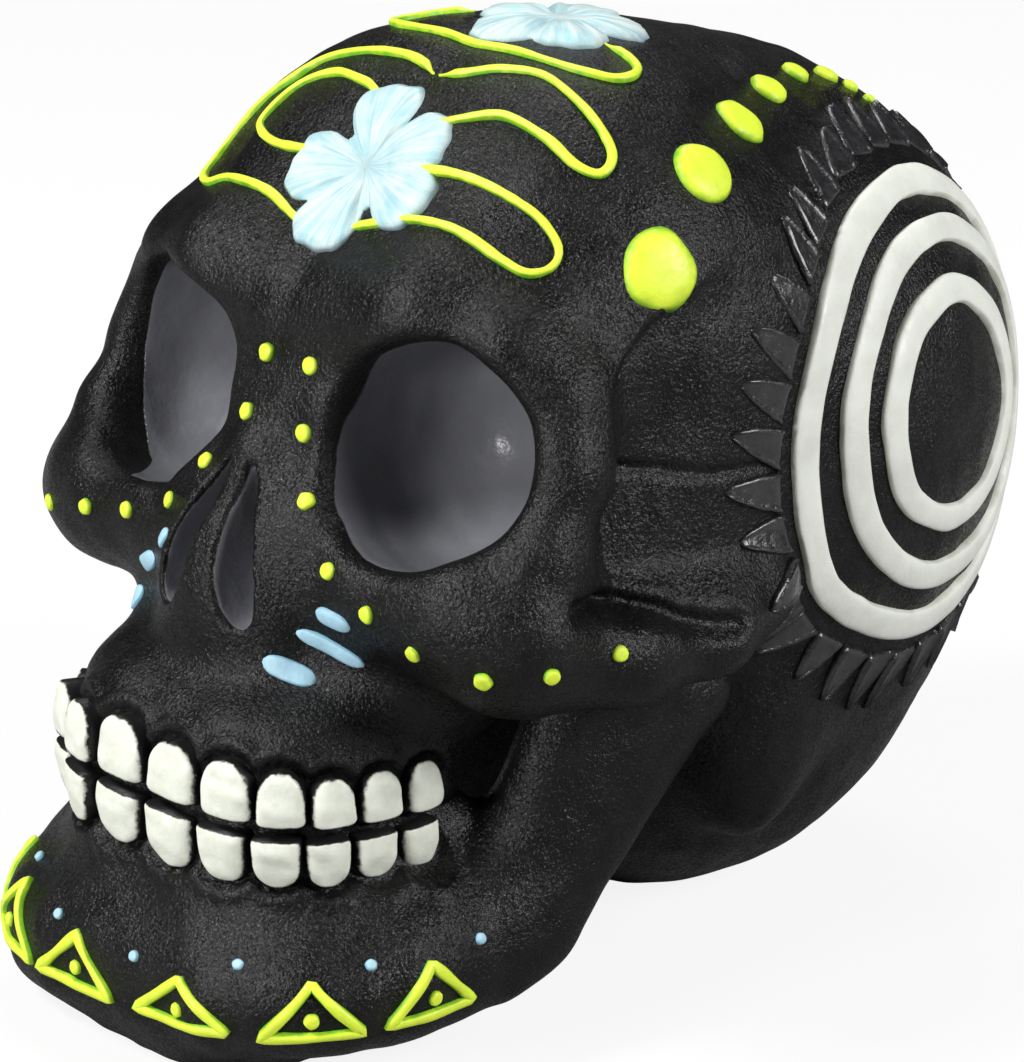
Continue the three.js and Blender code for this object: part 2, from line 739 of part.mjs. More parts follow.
function medallionPath(body, side, reach, widthShare, steps) {
  return Array.from({ length: steps }, (_, k) => {
    const angle = (side * 2 * Math.PI * k) / steps;
    const y = medallionShares[0] * STRETCH[1] + reach * widthShare * Math.cos(angle);
    const z = medallionShares[1] * STRETCH[2] + reach * Math.sin(angle);
    return landing(body, new THREE.Vector3(side * SKULL_WIDTH, y, z), new THREE.Vector3(-side, 0, 0));
  });
}

function ringGeometry(body, side, reach, widthShare, steps) {
  const path = framed(medallionPath(body, side, reach - RING_BAND / 2, widthShare, steps), true);
  const rows = banded(body, path, () => [-RING_BAND / 2, RING_BAND / 2]);
  return plate(body, rows, { closed: true, rise: PAINT_RISE });
}

function sunburstRows(body, side) {
  const path = framed(medallionPath(body, side, RING_REACH, ringWidthShares.outer, 2 * SPIKE_COUNT), true);
  return banded(body, path, (k) => {
    const tip = SPIKE_ROOT + (k % 2 ? SPIKE_LENGTH : 0);
    return [SKIN_GAP, (SKIN_GAP + tip) / 2, tip];
  });
}

function flowerGeometry(body, place, turn) {
  const reach = (angle) => {
    const petal = Math.abs(Math.cos((PETAL_COUNT * (angle - THREE.MathUtils.degToRad(turn))) / 2));
    return (FLOWER_WIDTH / 2) * THREE.MathUtils.lerp(petalNotchShare, 1, Math.sqrt(petal));
  };
  return patch(body, chartLanding(body, place), reach, { steps: PETAL_COUNT * PETAL_STEPS, rings: 2 });
}

function scrollGeometry(body, places, flowers) {
  const line = new THREE.CatmullRomCurve3(places.map(([turn, rise]) => new THREE.Vector3(turn, rise, 0)));
  const clear = FLOWER_WIDTH / 2 + SCROLL_BAND / 2 + SKIN_GAP;
  const covered = (spot) => flowers.some(({ point }) => point.distanceTo(spot.point) < clear);
  const spots = line.getPoints(SCROLL_STEPS).map(({ x, y }) => chartLanding(body, [x, y]));
  while (covered(spots[0])) spots.shift();
  while (covered(spots.at(-1))) spots.pop();
  const hindrances = flowers.map(({ point }) => ({ point, clear }));
  const path = spots.map((spot) => movedClear(body, spot, hindrances));
  const rows = banded(body, framed(path, false), () => [-SCROLL_BAND / 2, SCROLL_BAND / 2]);
  return plate(body, rows, { closed: false, rise: PAINT_RISE });
}

function crownDotGeometry(body, side, n, tips) {
  const [turn, rise] = crownDotPlaces[n];
  const radius = (CROWN_DOT_WIDTH * crownDotShares[n]) / 2;
  const hindrances = tips.map(({ point }) => ({ point, clear: radius + PAINT_RISE }));
  const centre = movedClear(body, chartLanding(body, [side * turn, rise]), hindrances);
  return patch(body, centre, () => radius, { steps: DOT_STEPS, rings: 1 });
}

// A line round an arch, seen from above, measured from the plane of symmetry to the side.
function archLine(side, front, back, square) {
  const points = Array.from({ length: ARCH_SAMPLES + 1 }, (_, k) => {
    const angle = ((k / ARCH_SAMPLES) * Math.PI) / 2;
    const x = side * Math.sin(angle) ** (2 / square);
    return new THREE.Vector3(x, back - front * Math.cos(angle) ** (2 / square), 0);
  });
  const lengths = [0];
  points.slice(1).forEach((point, k) => lengths.push(lengths[k] + point.distanceTo(points[k])));
  const total = lengths.at(-1);
  const at = (distance) => {
    const ahead = lengths.findIndex((length) => length >= Math.abs(distance));
    const n = THREE.MathUtils.clamp(ahead, 1, ARCH_SAMPLES);
    const part = (Math.abs(distance) - lengths[n - 1]) / (lengths[n] - lengths[n - 1]);
    const point = points[n - 1].clone().lerp(points[n], part);
    const along = points[n].clone().sub(points[n - 1]).normalize();
    const out = new THREE.Vector3(along.y === 0 ? 0 : along.y, -along.x, 0);
    const hand = Math.sign(distance) || 1;
    return {
      point: new THREE.Vector3(hand * point.x, point.y, 0),
      out: new THREE.Vector3(hand * Math.abs(out.x), out.y, 0),
      backward: (point.y - points[0].y) / (points.at(-1).y - points[0].y),
    };
  };
  return { at, total };
}

// A rounded block with a width at its rear and one at its front.
function toothBlock(widths, height, depth) {
  const positions = [];
  const round = (value) => Math.sign(value) * Math.abs(value) ** toothRoundShare;
  for (let row = 0; row <= TOOTH_ROWS; row++)
    for (let column = 0; column < TOOTH_COLUMNS; column++) {
      const rise = (row / TOOTH_ROWS - 1 / 2) * Math.PI;
      const turn = ((column + 1 / 2) / TOOTH_COLUMNS) * 2 * Math.PI;
      const girth = round(Math.cos(rise));
      const y = depth * girth * round(Math.sin(turn));
      const width = THREE.MathUtils.lerp(...widths, (1 + y / depth) / 2);
      const x = (width / 2) * girth * round(Math.cos(turn));
      positions.push(x, y, (height / 2) * round(Math.sin(rise)));
    }
  const faces = [];
  const id = (row, column) => row * TOOTH_COLUMNS + (column % TOOTH_COLUMNS);
  for (let row = 0; row < TOOTH_ROWS; row++)
    for (let column = 0; column < TOOTH_COLUMNS; column++) {
      const [a, b] = [id(row, column), id(row, column + 1)];
      const [c, d] = [id(row + 1, column + 1), id(row + 1, column)];
      if (row > 0) faces.push(a, b, c);
      if (row + 1 < TOOTH_ROWS) faces.push(a, c, d);
    }
  return meshOf(positions, faces);
}

function toothGeometry(gum, carriers, side, n, upper) {
  const line = archLine(ARCH_WIDTH / 2, ARCH_DEPTH, archBackShare * STRETCH[1], archSquare);
  const before = toothWidthShares.slice(0, n).reduce((sum, share) => sum + share, 0);
  const place = (part) => line.at(side * (before + toothWidthShares[n] * part) * line.total);
  const spot = place(1 / 2);
  const ends = [place(0), place(1)];
  const chord = ends[1].point.clone().sub(ends[0].point);
  const out = new THREE.Vector3(side * chord.y, -side * chord.x, 0).normalize();
  const widths = [2 * TOOTH_STAND, 0].map((inset) => {
    const [a, b] = ends.map((end) => end.point.clone().addScaledVector(end.out, -inset));
    return a.distanceTo(b) - TOOTH_GAP;
  });
  const bite = THREE.MathUtils.lerp(biteShares.front, biteShares.rear, spot.backward) * STRETCH[2];
  const height = TOOTH_HEIGHT * toothHeightShares[n];
  const middle = bite + ((upper ? 1 : -1) * (height + BITE_GAP)) / 2;
  const from = spot.point.clone().addScaledVector(out, GUM_THICKNESS).setZ(middle);
  const seat = landing(gum, from, out.clone().negate());
  const block = toothBlock(widths, height, TOOTH_STAND);
  block.rotateZ(Math.atan2(out.y, out.x) - Math.PI / 2);
  block.translate(...seat.point);
  return seated(solidOf(block), carriers);
}

function chinTriangleGeometry(jaw, side, [place, wide]) {
  const { outline } = jawWallShares.find(({ name }) => name === "chin");
  const reach = [outline.side + outline.half, outline.front + outline.half];
  const back = jawBackShare * STRETCH[1];
  const line = archLine(reach[0] * STRETCH[0], reach[1] * STRETCH[1], back, outline.square);
  const centre = place * STRETCH[0];
  const width = wide * STRETCH[0];
  const land = ([along, rise]) => {
    const spot = line.at(side * (centre + along));
    const row = THREE.MathUtils.lerp(triangleRowShares.front, triangleRowShares.rear, spot.backward);
    const from = spot.point.clone().addScaledVector(spot.out, GUM_THICKNESS).setZ(row * STRETCH[2] + rise);
    return landing(jaw, from, spot.out.clone().negate());
  };
  const tips = [
    [-width / 2, -TRIANGLE_HEIGHT / 2],
    [width / 2, -TRIANGLE_HEIGHT / 2],
    [0, TRIANGLE_HEIGHT / 2],
  ];
  const slant = Math.hypot(width / 2, TRIANGLE_HEIGHT);
  const inRadius = (width * TRIANGLE_HEIGHT) / (width + 2 * slant);
  const middle = [0, inRadius - TRIANGLE_HEIGHT / 2];
  const between = (from, to, part) => from.map((value, axis) => THREE.MathUtils.lerp(value, to[axis], part));
  const inward = (tip) => between(tip, middle, TRIANGLE_BAND / inRadius);
  const rows = tips.flatMap((tip, m) => {
    const next = tips[(m + 1) % tips.length];
    return Array.from({ length: TRIANGLE_SIDE_STEPS }, (_, k) => k / TRIANGLE_SIDE_STEPS).map((part) => [
      land(between(tip, next, part)),
      land(between(inward(tip), inward(next), part)),
    ]);
  });
  return plate(jaw, rows, { closed: true, rise: PAINT_RISE });
}

// Skull

const ground = underground();
const jawLines = [
  evenLines(jawSideShare, jawGridShares),
  gridLines(lengthGridShares[0][0], jawRearShare, jawGridShares),
  gridLines(heightGridShares[0][0], jawTopShare, jawGridShares),
];
const craniumLines = [
  evenLines(sideGridShares.at(-1)[0], sideGridShares),
  gridLines(lengthGridShares[0][0], lengthGridShares.at(-1)[0], lengthGridShares),
  gridLines(heightGridShares[0][0], heightGridShares.at(-1)[0], heightGridShares),
];
const cranium = carrier(craniumForm, craniumLines, [ground, nostrilCutter(1), nostrilCutter(-1)], []);
const jaw = carrier(jawForm, jawLines, [ground], [cranium]);

const finish = (color, roughness) => new THREE.MeshStandardMaterial({ color, roughness, metalness: 0 });
const BLACK_COAT = finish(0x17171a, 0.55);
const BLACK_GLOSS = finish(0x0e0e10, 0.25);
const NEON_PAINT = finish(0xc6e81c, 0.5);
const CREAM_PAINT = finish(0xe6e4d6, 0.55);
const PALE_BLUE_PAINT = finish(0xcfe2ee, 0.5);

const skull = new THREE.Group();
const head = new THREE.Group();
const lowerJaw = new THREE.Group();
skull.add(head, lowerJaw);

function addPiece(group, name, geometry, material) {
  const mesh = new THREE.Mesh(geometry, material);
  mesh.name = name;
  group.add(mesh);
}

addPiece(head, "cranium", cranium.geometry, BLACK_COAT);
addPiece(lowerJaw, "mandible", jaw.geometry, BLACK_COAT);
for (const [sideName, side] of [["left", 1], ["right", -1]]) {
  Object.entries(ringWidthShares).forEach(([ringName, widthShare], k) => {
    const reach = RING_REACH - k * RING_PITCH;
    const geometry = ringGeometry(cranium, side, reach, widthShare, RING_STEPS[ringName]);
    addPiece(head, `${ringName}_ring_${sideName}`, geometry, CREAM_PAINT);
  });
  const rays = sunburstRows(cranium, side);
  const sunburst = plate(cranium, rays, { closed: true, rise: GLOSS_RISE });
  addPiece(head, `sunburst_${sideName}`, sunburst, BLACK_GLOSS);
  const tips = rays.map((row) => row.at(-1));
  crownDotPlaces.forEach((_, n) =>
    addPiece(head, `crown_dot_${sideName}_${n + 1}`, crownDotGeometry(cranium, side, n, tips), NEON_PAINT),
  );
  toothWidthShares.forEach((_, n) => {
    const upper = toothGeometry(cranium, [cranium, jaw], side, n, true);
    addPiece(head, `upper_tooth_${sideName}_${n + 1}`, upper, CREAM_PAINT);
    const lower = toothGeometry(jaw, [cranium, jaw], side, n, false);
    addPiece(lowerJaw, `lower_tooth_${sideName}_${n + 1}`, lower, CREAM_PAINT);
  });
  triangleShares[sideName].forEach((shares, n) =>
    addPiece(lowerJaw, `chin_triangle_${sideName}_${n + 1}`, chinTriangleGeometry(jaw, side, shares), NEON_PAINT),
  );
}
const flowers = Object.values(flowerPlaces).map((place) => chartLanding(cranium, place));
for (const [name, place] of Object.entries(flowerPlaces))
  addPiece(head, `flower_${name}`, flowerGeometry(cranium, place, flowerTurns[name]), PALE_BLUE_PAINT);
for (const [name, places] of Object.entries(scrollPlaces))
  addPiece(head, `scroll_${name}`, scrollGeometry(cranium, places, flowers), NEON_PAINT);

// The origin lies under the middle of the skull's length.
const bounds = new THREE.Box3().setFromObject(skull);
skull.position.y = -(bounds.min.y + bounds.max.y) / 2;

export default skull;
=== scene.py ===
import math

import bpy
import numpy as np
import openvdb
from mathutils import Matrix, Vector
from mathutils.bvhtree import BVHTree

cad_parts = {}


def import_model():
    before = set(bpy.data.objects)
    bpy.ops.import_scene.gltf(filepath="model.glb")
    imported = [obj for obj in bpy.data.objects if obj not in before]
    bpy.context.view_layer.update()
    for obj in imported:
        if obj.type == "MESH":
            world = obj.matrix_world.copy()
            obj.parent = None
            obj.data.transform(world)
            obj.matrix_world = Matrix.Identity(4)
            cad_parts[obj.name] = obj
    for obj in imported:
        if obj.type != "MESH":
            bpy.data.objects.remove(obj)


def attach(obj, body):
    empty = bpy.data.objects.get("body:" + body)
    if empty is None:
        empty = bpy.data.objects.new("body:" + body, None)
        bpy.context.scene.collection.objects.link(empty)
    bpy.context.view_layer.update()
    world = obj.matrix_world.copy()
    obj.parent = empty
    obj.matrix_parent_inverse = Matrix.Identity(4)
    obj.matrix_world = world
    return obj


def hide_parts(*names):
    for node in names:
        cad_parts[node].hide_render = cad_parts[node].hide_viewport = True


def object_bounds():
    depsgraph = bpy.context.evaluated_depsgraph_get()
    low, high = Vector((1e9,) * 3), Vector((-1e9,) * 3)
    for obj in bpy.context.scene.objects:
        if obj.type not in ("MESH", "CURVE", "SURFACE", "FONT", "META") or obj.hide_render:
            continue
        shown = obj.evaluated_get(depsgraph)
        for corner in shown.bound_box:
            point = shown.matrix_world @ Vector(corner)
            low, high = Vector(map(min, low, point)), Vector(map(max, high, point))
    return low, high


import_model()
cad_box = [list(corner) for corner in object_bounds()]

# Units: the form is worked out in millimetres round an origin of its own, which lies on the ground
# behind the face. The box of the CAD model says how long one of them is, and where the origin is.
FORM_LOW = np.array([-71.31, -112.49, 0.0])
FORM_HIGH = np.array([71.31, 92.43, 172.52])
HEAD = 173.0
SCALE = (np.array(cad_box[1]) - np.array(cad_box[0])) / (FORM_HIGH - FORM_LOW)
SHIFT = np.array(cad_box[0]) - FORM_LOW * SCALE


def world(places):
    return np.asarray(places, float) * SCALE + SHIFT


# Form of the skull, in shares of HEAD

CRANIUM_LUMPS = [
    dict(at=(0, 0.159, 0.567), half=(0.39, 0.357, 0.37), blend=0.01),
    dict(at=(0, -0.04, 0.659), half=(0.335, 0.312, 0.329), blend=0.092),
    dict(at=(0, 0.142, 0.359), half=(0.315, 0.35, 0.376), blend=0.116),
    dict(at=(0.139, -0.11, 0.723), half=(0.194, 0.199, 0.214), blend=0.104),
    dict(at=(0.277, -0.116, 0.52), half=(0.085, 0.19, 0.15), blend=0.058),
    dict(at=(0.265, -0.382, 0.489), half=(0.12, 0.073, 0.067), blend=0.069, yaw=8),
    dict(at=(0, -0.382, 0.462), half=(0.148, 0.142, 0.15), blend=0.07),
    dict(at=(0.15, -0.3, 0.44), half=(0.12, 0.13, 0.11), blend=0.06),
    dict(at=(0.266, 0.023, 0.266), half=(0.058, 0.069, 0.127), blend=0.058, tilt=-10),
]
CRANIUM_RIDGES = [
    dict(blend=0.104, points=[(0.035, -0.34, 0.734, 0.046), (0.15, -0.345, 0.757, 0.046),
                              (0.243, -0.312, 0.74, 0.04), (0.283, -0.289, 0.694, 0.037)]),
    dict(blend=0.052, points=[(0.297, -0.289, 0.705, 0.03), (0.321, -0.306, 0.636, 0.034),
                              (0.324, -0.347, 0.561, 0.039), (0.288, -0.382, 0.512, 0.044)]),
    dict(blend=0.069, points=[(0.07, -0.382, 0.647, 0.03), (0.095, -0.4, 0.566, 0.032),
                              (0.16, -0.416, 0.52, 0.033), (0.254, -0.408, 0.503, 0.035)]),
    dict(blend=0.046, points=[(0, -0.347, 0.717, 0.04), (0, -0.376, 0.647, 0.034),
                              (0, -0.425, 0.61, 0.026)]),
    dict(blend=0.07, points=[(0.312, -0.358, 0.451, 0.052), (0.355, -0.254, 0.44, 0.046),
                             (0.368, -0.15, 0.44, 0.038), (0.358, -0.075, 0.452, 0.03)]),
]
ORBIT = dict(at=(0.191, -0.358, 0.636), half=(0.107, 0.139, 0.1185), yaw=10, roll=-12)
ORBIT_EDGE = 0.03
# How far the socket on the skull's right reaches in toward the nose
RIGHT_ORBIT_IN = 0.024
NOSTRIL = dict(at=(0.0347, -0.497, 0.538), half=(0.0295, 0.075, 0.088), roll=15)
NOSTRIL_TOP = 0.2
NOSTRIL_EDGE = 0.008
UPPER_GUM = dict(low=0.312, high=0.335, rear_low=0.29, rear_high=0.34)
UPPER_GUM_BLEND = 0.064

JAW_WALLS = [
    dict(blend=0.01, side=0.213, front=0.202, square=2.4, half=0.053, low=0.059, high=0.15, rear_low=0.14,
         rear_high=0.15),
    dict(blend=0.058, side=0.245, front=0.247, square=3.8, half=0.045, low=0.073, high=0.1, rear_low=0.098,
         rear_high=0.12, lift=0.026, right_lift=-0.022),
    dict(blend=0.046, side=0.155, front=0.222, square=2.4, half=0.029, low=0.017, high=0.046, rear_low=0.1,
         rear_high=0.11),
]
JAW_RIDGES = [
    dict(blend=0.058, points=[(0.225, -0.277, 0.121, 0.043), (0.295, -0.098, 0.347, 0.038)]),
    dict(blend=0.07, points=[(0.222, -0.295, 0.155, 0.04), (0.268, -0.24, 0.393, 0.035)]),
    dict(blend=0.081, points=[(0.226, -0.285, 0.139, 0.043), (0.283, -0.173, 0.37, 0.035)]),
]
LOWER_GUM = dict(low=0.196, high=0.266, rear_low=0.182, rear_high=0.231)
LOWER_GUM_BLEND = 0.046
JAW_BACK = -0.347
ARCH_BACK = -0.358
MIRROR = 0.006
WALL_BLEND = 0.023
ROD_BLEND = 0.03
WALL_STEPS = 6
# Across the head, where a wall's bend changes from that of the skull's right to that of its left
LIFT_CHANGE = (-0.1, 0.06)

# Gums and teeth, in millimetres. The widths of the teeth are shares of half the arch, from the front to
# the rear, and the heights are shares of the front tooth's.
ARCH_WIDTH = 78.0
ARCH_DEPTH = 42.0
ARCH_SQUARE = 3.2
GUM_THICKNESS = 17.0
TOOTH_STAND = 4.0
TOOTH_HEIGHT = 11.0
TOOTH_WIDTHS = [0.207, 0.18, 0.158, 0.144, 0.146, 0.143]
TOOTH_HEIGHTS = [1, 0.95, 0.9, 0.84, 0.8, 0.82]
BITE_FRONT = 47.9
BITE_REAR = 45.3
BITE_RISE = 1.6
BITE_DROP = 1.1
LOWER_HEIGHT = 0.93
# How far each row is shifted along the arch to the skull's left
UPPER_SHIFT = -0.9
LOWER_SHIFT = -2.0
# How far the rear teeth of the skull's right stand out, and how many degrees the third turns to the front
RIGHT_FLARE = 1.8
RIGHT_TURN = 22.0
TOOTH_FACE = 3.3
TOOTH_BACK = 4.5
TOOTH_EDGE = 0.9
TOOTH_SQUARE = 0.62
TOOTH_BUMPS = 0.14
# The gum stands out in an arch beyond each tooth and lies back in a groove along it. The arches are low
# from the third tooth on at the skull's right.
GUM_ARCH = 0.9
GUM_ARCH_GAP = 2.5
GUM_ARCH_REACH = 1.0
GUM_ARCH_LOW = 0.2
GUM_GROOVE = 0.8
GUM_GROOVE_GAP = 0.5
GUM_GROOVE_REACH = 0.7
GUM_SEARCH = 9.0


def soft_min(a, b, reach):
    """The lesser of two distances, with a smooth change from one to the other."""
    lap = np.maximum(reach - np.abs(a - b), 0) / reach
    return np.minimum(a, b) - lap * lap * reach / 4


def soft_max(a, b, reach):
    return -soft_min(-a, -b, reach)


def turned(a, b, degrees):
    """A place in a plane, as seen from axes turned by some degrees."""
    angle = math.radians(degrees)
    return a * math.cos(angle) + b * math.sin(angle), b * math.cos(angle) - a * math.sin(angle)


def lump(places, at, half, yaw=0, roll=0, tilt=0, top=1.0, **_):
    """An ellipsoid, with a twin on the other side if it is off the middle. top narrows it upward."""
    x, y, z = places
    if at[0]:
        x = np.hypot(x, MIRROR)
    x, y, z = x - at[0], y - at[1], z - at[2]
    x, y = turned(x, y, yaw)
    x, z = turned(x, z, roll)
    y, z = turned(y, z, tilt)
    x, y, z = x / half[0], y / half[1], z / half[2]
    if top != 1.0:
        x = x / (1 + (top - 1) * np.clip((z + 1) / 2, 0, 1))
    near = np.sqrt(x * x + y * y + z * z)
    slope = np.sqrt((x / half[0]) ** 2 + (y / half[1]) ** 2 + (z / half[2]) ** 2)
    return near * (near - 1) / np.maximum(slope, 1e-6)


def rod(places, start, end):
    along = np.subtract(end[:3], start[:3])
    offset = [axis - begin for axis, begin in zip(places, start)]
    part = sum(a * b for a, b in zip(offset, along)) / float(along @ along)
    part = np.clip(part, 0, 1)
    gap = np.sqrt(sum((a - part * b) ** 2 for a, b in zip(offset, along)))
    return gap - (start[3] + (end[3] - start[3]) * part)


def ridge(places, points):
    x, y, z = places
    side = (np.hypot(x, MIRROR), y, z) if any(point[0] for point in points) else places
    total = None
    for start, end in zip(points, points[1:]):
        distance = rod(side, start, end)
        total = distance if total is None else soft_min(total, distance, ROD_BLEND)
    return total


def wall(places, side, front, back, square, half, low, high, rear_low, rear_high, lift=0.0, right_lift=0.0,
         **_):
    """A thick upright wall, bent round the front. lift and right_lift bend its border up or down."""
    x, y, z = np.hypot(places[0], MIRROR), places[1], places[2]
    raised = right_lift + (lift - right_lift) * smooth_step(places[0], *LIFT_CHANGE)
    plan = []
    for step in range(WALL_STEPS + 1):
        angle = step / WALL_STEPS * math.pi / 2
        behind = 1 - math.cos(angle)
        plan.append((side * math.sin(angle) ** (2 / square), back - front * math.cos(angle) ** (2 / square),
                     low + (rear_low - low) * behind + raised * math.sin(2 * angle),
                     high + (rear_high - high) * behind + np.minimum(raised, 0) * math.sin(2 * angle)))
    total = None
    for (ax, ay, a_low, a_high), (bx, by, b_low, b_high) in zip(plan, plan[1:]):
        dx, dy = bx - ax, by - ay
        part = np.clip(((x - ax) * dx + (y - ay) * dy) / (dx * dx + dy * dy), 0, 1)
        rise = z - np.clip(z, a_low + (b_low - a_low) * part, a_high + (b_high - a_high) * part)
        distance = np.sqrt((x - ax - part * dx) ** 2 + (y - ay - part * dy) ** 2 + rise * rise) - half
        total = distance if total is None else soft_min(total, distance, WALL_BLEND)
    return total


def gum(places, plan):
    half = GUM_THICKNESS / 2 / HEAD
    side = (ARCH_WIDTH / 2 - TOOTH_STAND) / HEAD - half
    front = (ARCH_DEPTH - TOOTH_STAND) / HEAD - half
    return wall(places, side=side, front=front, back=ARCH_BACK, square=ARCH_SQUARE, half=half, **plan)


# Temple, in millimetres: the edge of a shallow step behind the eye, a crack, and the groove over the
# cheek arch. Each is a row of (y, z) places on the side of the head.
TEMPLE_EDGE = [(-47, 84), (-46.2, 99.9), (-45.8, 105.8), (-46.4, 117.2), (-45.4, 122.2), (-42.4, 125.6),
               (-38.3, 128.9), (-34.2, 132.5), (-28, 136), (-18, 140), (-4, 143)]
TEMPLE_DEPTH = 1.3
# Where the temple's relief begins and is full: out from the middle, off the socket, behind its edge and
# over the cheek, and where it fades toward the rear and the top
TEMPLE_OUT = (42, 50)
TEMPLE_OFF_ORBIT = (1.5, 4)
TEMPLE_BEHIND = (-0.6, 1.4)
TEMPLE_OVER = (86, 92)
TEMPLE_REAR = (8, 34)
TEMPLE_TOP = (132, 142)
CRACK = [(-46, 109.6), (-37.6, 107.4), (-33, 106.7), (-28.4, 105.3), (-23.3, 104.3), (-17.7, 104.2),
         (-12.5, 103.8)]
CRACK_DEPTH = 0.9
CRACK_REACH = 0.9
ARCH_GROOVE = [(-60, 89), (-52, 87.6), (-45, 85.8), (-40, 84), (-36, 81.6), (-31, 80), (-26, 79.2)]
ARCH_GROOVE_DEPTH = 2.2
ARCH_GROOVE_REACH = 2.0


def line_gap(y, z, line):
    gap = None
    for (ay, az), (by, bz) in zip(line, line[1:]):
        dy, dz = by - ay, bz - az
        part = np.clip(((y - ay) * dy + (z - az) * dz) / (dy * dy + dz * dz), 0, 1)
        here = np.hypot(y - ay - part * dy, z - az - part * dz)
        gap = here if gap is None else np.minimum(gap, here)
    return gap


def smooth_step(value, low, high):
    part = np.clip((value - low) / (high - low), 0, 1)
    return part * part * (3 - 2 * part)


def temple_relief(places):
    """How far the skin of the temple lies back, in millimetres."""
    x, y, z = (axis * HEAD for axis in places)
    sideways = smooth_step(np.abs(x), *TEMPLE_OUT)
    sideways = sideways * smooth_step(lump(places, **ORBIT) * HEAD, *TEMPLE_OFF_ORBIT)
    edge_y = np.interp(z, [place[1] for place in TEMPLE_EDGE], [place[0] for place in TEMPLE_EDGE])
    behind = y - edge_y
    step = smooth_step(behind, *TEMPLE_BEHIND) * (1 - smooth_step(behind, *TEMPLE_REAR))
    step = step * smooth_step(z, *TEMPLE_OVER) * (1 - smooth_step(z, *TEMPLE_TOP))
    crack = np.exp(-(line_gap(y, z, CRACK) / CRACK_REACH) ** 2)
    groove = np.exp(-(line_gap(y, z, ARCH_GROOVE) / ARCH_GROOVE_REACH) ** 2)
    return sideways * (TEMPLE_DEPTH * step + CRACK_DEPTH * crack + ARCH_GROOVE_DEPTH * groove)


def joined(places, shapes, distances, ridges, gum_plan, gum_blend):
    """Lumps or walls, ridges and a gum, joined one after the other."""
    total = None
    for shape, distance in zip(shapes, distances):
        total = distance if total is None else soft_min(total, distance, shape["blend"])
    for shape in ridges:
        total = soft_min(total, ridge(places, shape["points"]), shape["blend"])
    return soft_min(total, gum(places, gum_plan), gum_blend)


def head_form(places):
    """The cranium before its sockets and nostrils are cut."""
    lumps = (lump(places, **shape) for shape in CRANIUM_LUMPS)
    return joined(places, CRANIUM_LUMPS, lumps, CRANIUM_RIDGES, UPPER_GUM, UPPER_GUM_BLEND)


def orbit_form(places):
    """The eye sockets. The one on the skull's right reaches further in toward the nose."""
    x, y, z = places
    both = lump(places, **ORBIT)
    inner = lump((x - RIGHT_ORBIT_IN, y, z), **ORBIT)
    return np.where(x < 0, np.minimum(both, inner), both)


def cranium_form(places):
    total = soft_max(head_form(places), -orbit_form(places), ORBIT_EDGE)
    return soft_max(total, -lump(places, top=NOSTRIL_TOP, **NOSTRIL), NOSTRIL_EDGE)


def cranium_skin(places):
    return cranium_form(places) + temple_relief(places) / HEAD


def jaw_form(places):
    walls = (wall(places, back=JAW_BACK, **shape) for shape in JAW_WALLS)
    return joined(places, JAW_WALLS, walls, JAW_RIDGES, LOWER_GUM, LOWER_GUM_BLEND)


def jaw_skin(places):
    return np.maximum(jaw_form(places), -cranium_form(places) - SEAT_DEPTH / HEAD)


# Skins, in millimetres

VOXEL = 0.8
SEAT_DEPTH = 0.5
LIFT = 12.0
NUDGE = 0.4
FIELD_EDGE = 10.0


class Skin:
    """A mesh of a form, in millimetres, with ways to land on it."""

    def __init__(self, form, low, high, way_form):
        axes = [np.arange(a, b, VOXEL, dtype=np.float32) / HEAD for a, b in zip(low, high)]
        places = np.meshgrid(*axes, indexing="ij", sparse=True)
        ground = (places[2] * HEAD) * np.ones((axes[0].size, axes[1].size, 1), np.float32)
        field = np.maximum(form(places) * HEAD, -ground).astype(np.float32)
        grid = openvdb.FloatGrid(background=FIELD_EDGE)
        grid.copyFromArray(field)
        grid.transform = openvdb.createLinearTransform(voxelSize=VOXEL)
        points, quads = grid.convertToQuads(isovalue=0.0)
        self.points = points.astype(float) + np.array(low, float)
        self.points[:, 2] = np.maximum(self.points[:, 2], 0)
        self.faces = quads[:, ::-1].tolist()
        self.form = way_form
        self.tree = BVHTree.FromPolygons(self.points.tolist(), self.faces)

    def ways(self, places):
        """Directions straight out of the form at many places."""
        shares = np.asarray(places, float).T / HEAD
        slope = []
        for axis in range(3):
            step = np.zeros((3, 1))
            step[axis] = NUDGE / HEAD
            slope.append(self.form(tuple(shares + step)) - self.form(tuple(shares - step)))
        slope = np.array(slope).T
        return slope / np.linalg.norm(slope, axis=1, keepdims=True)

    def hit(self, start, way):
        place, *_ = self.tree.ray_cast(Vector(start), Vector(way))
        if place is None:
            raise ValueError(f"a ray misses the skin from {tuple(start)}")
        return np.array(place)

    def near(self, place, way):
        """The skin's place over or under a place, along a way out of it."""
        start = Vector(place) + Vector(way) * LIFT
        found, *_ = self.tree.ray_cast(start, -Vector(way), 3 * LIFT)
        return np.array(place if found is None else found)


CRANIUM = Skin(cranium_skin, (-76, -106, -4), (76, 98, 176), cranium_form)
JAW = Skin(jaw_skin, (-62, -116, -4), (62, -4, 78), jaw_form)

# Pieces

SIDES = (("left", 1), ("right", -1))
UNEVEN_WAVES = 9
SINK = 0.35
PITCH = 0.9


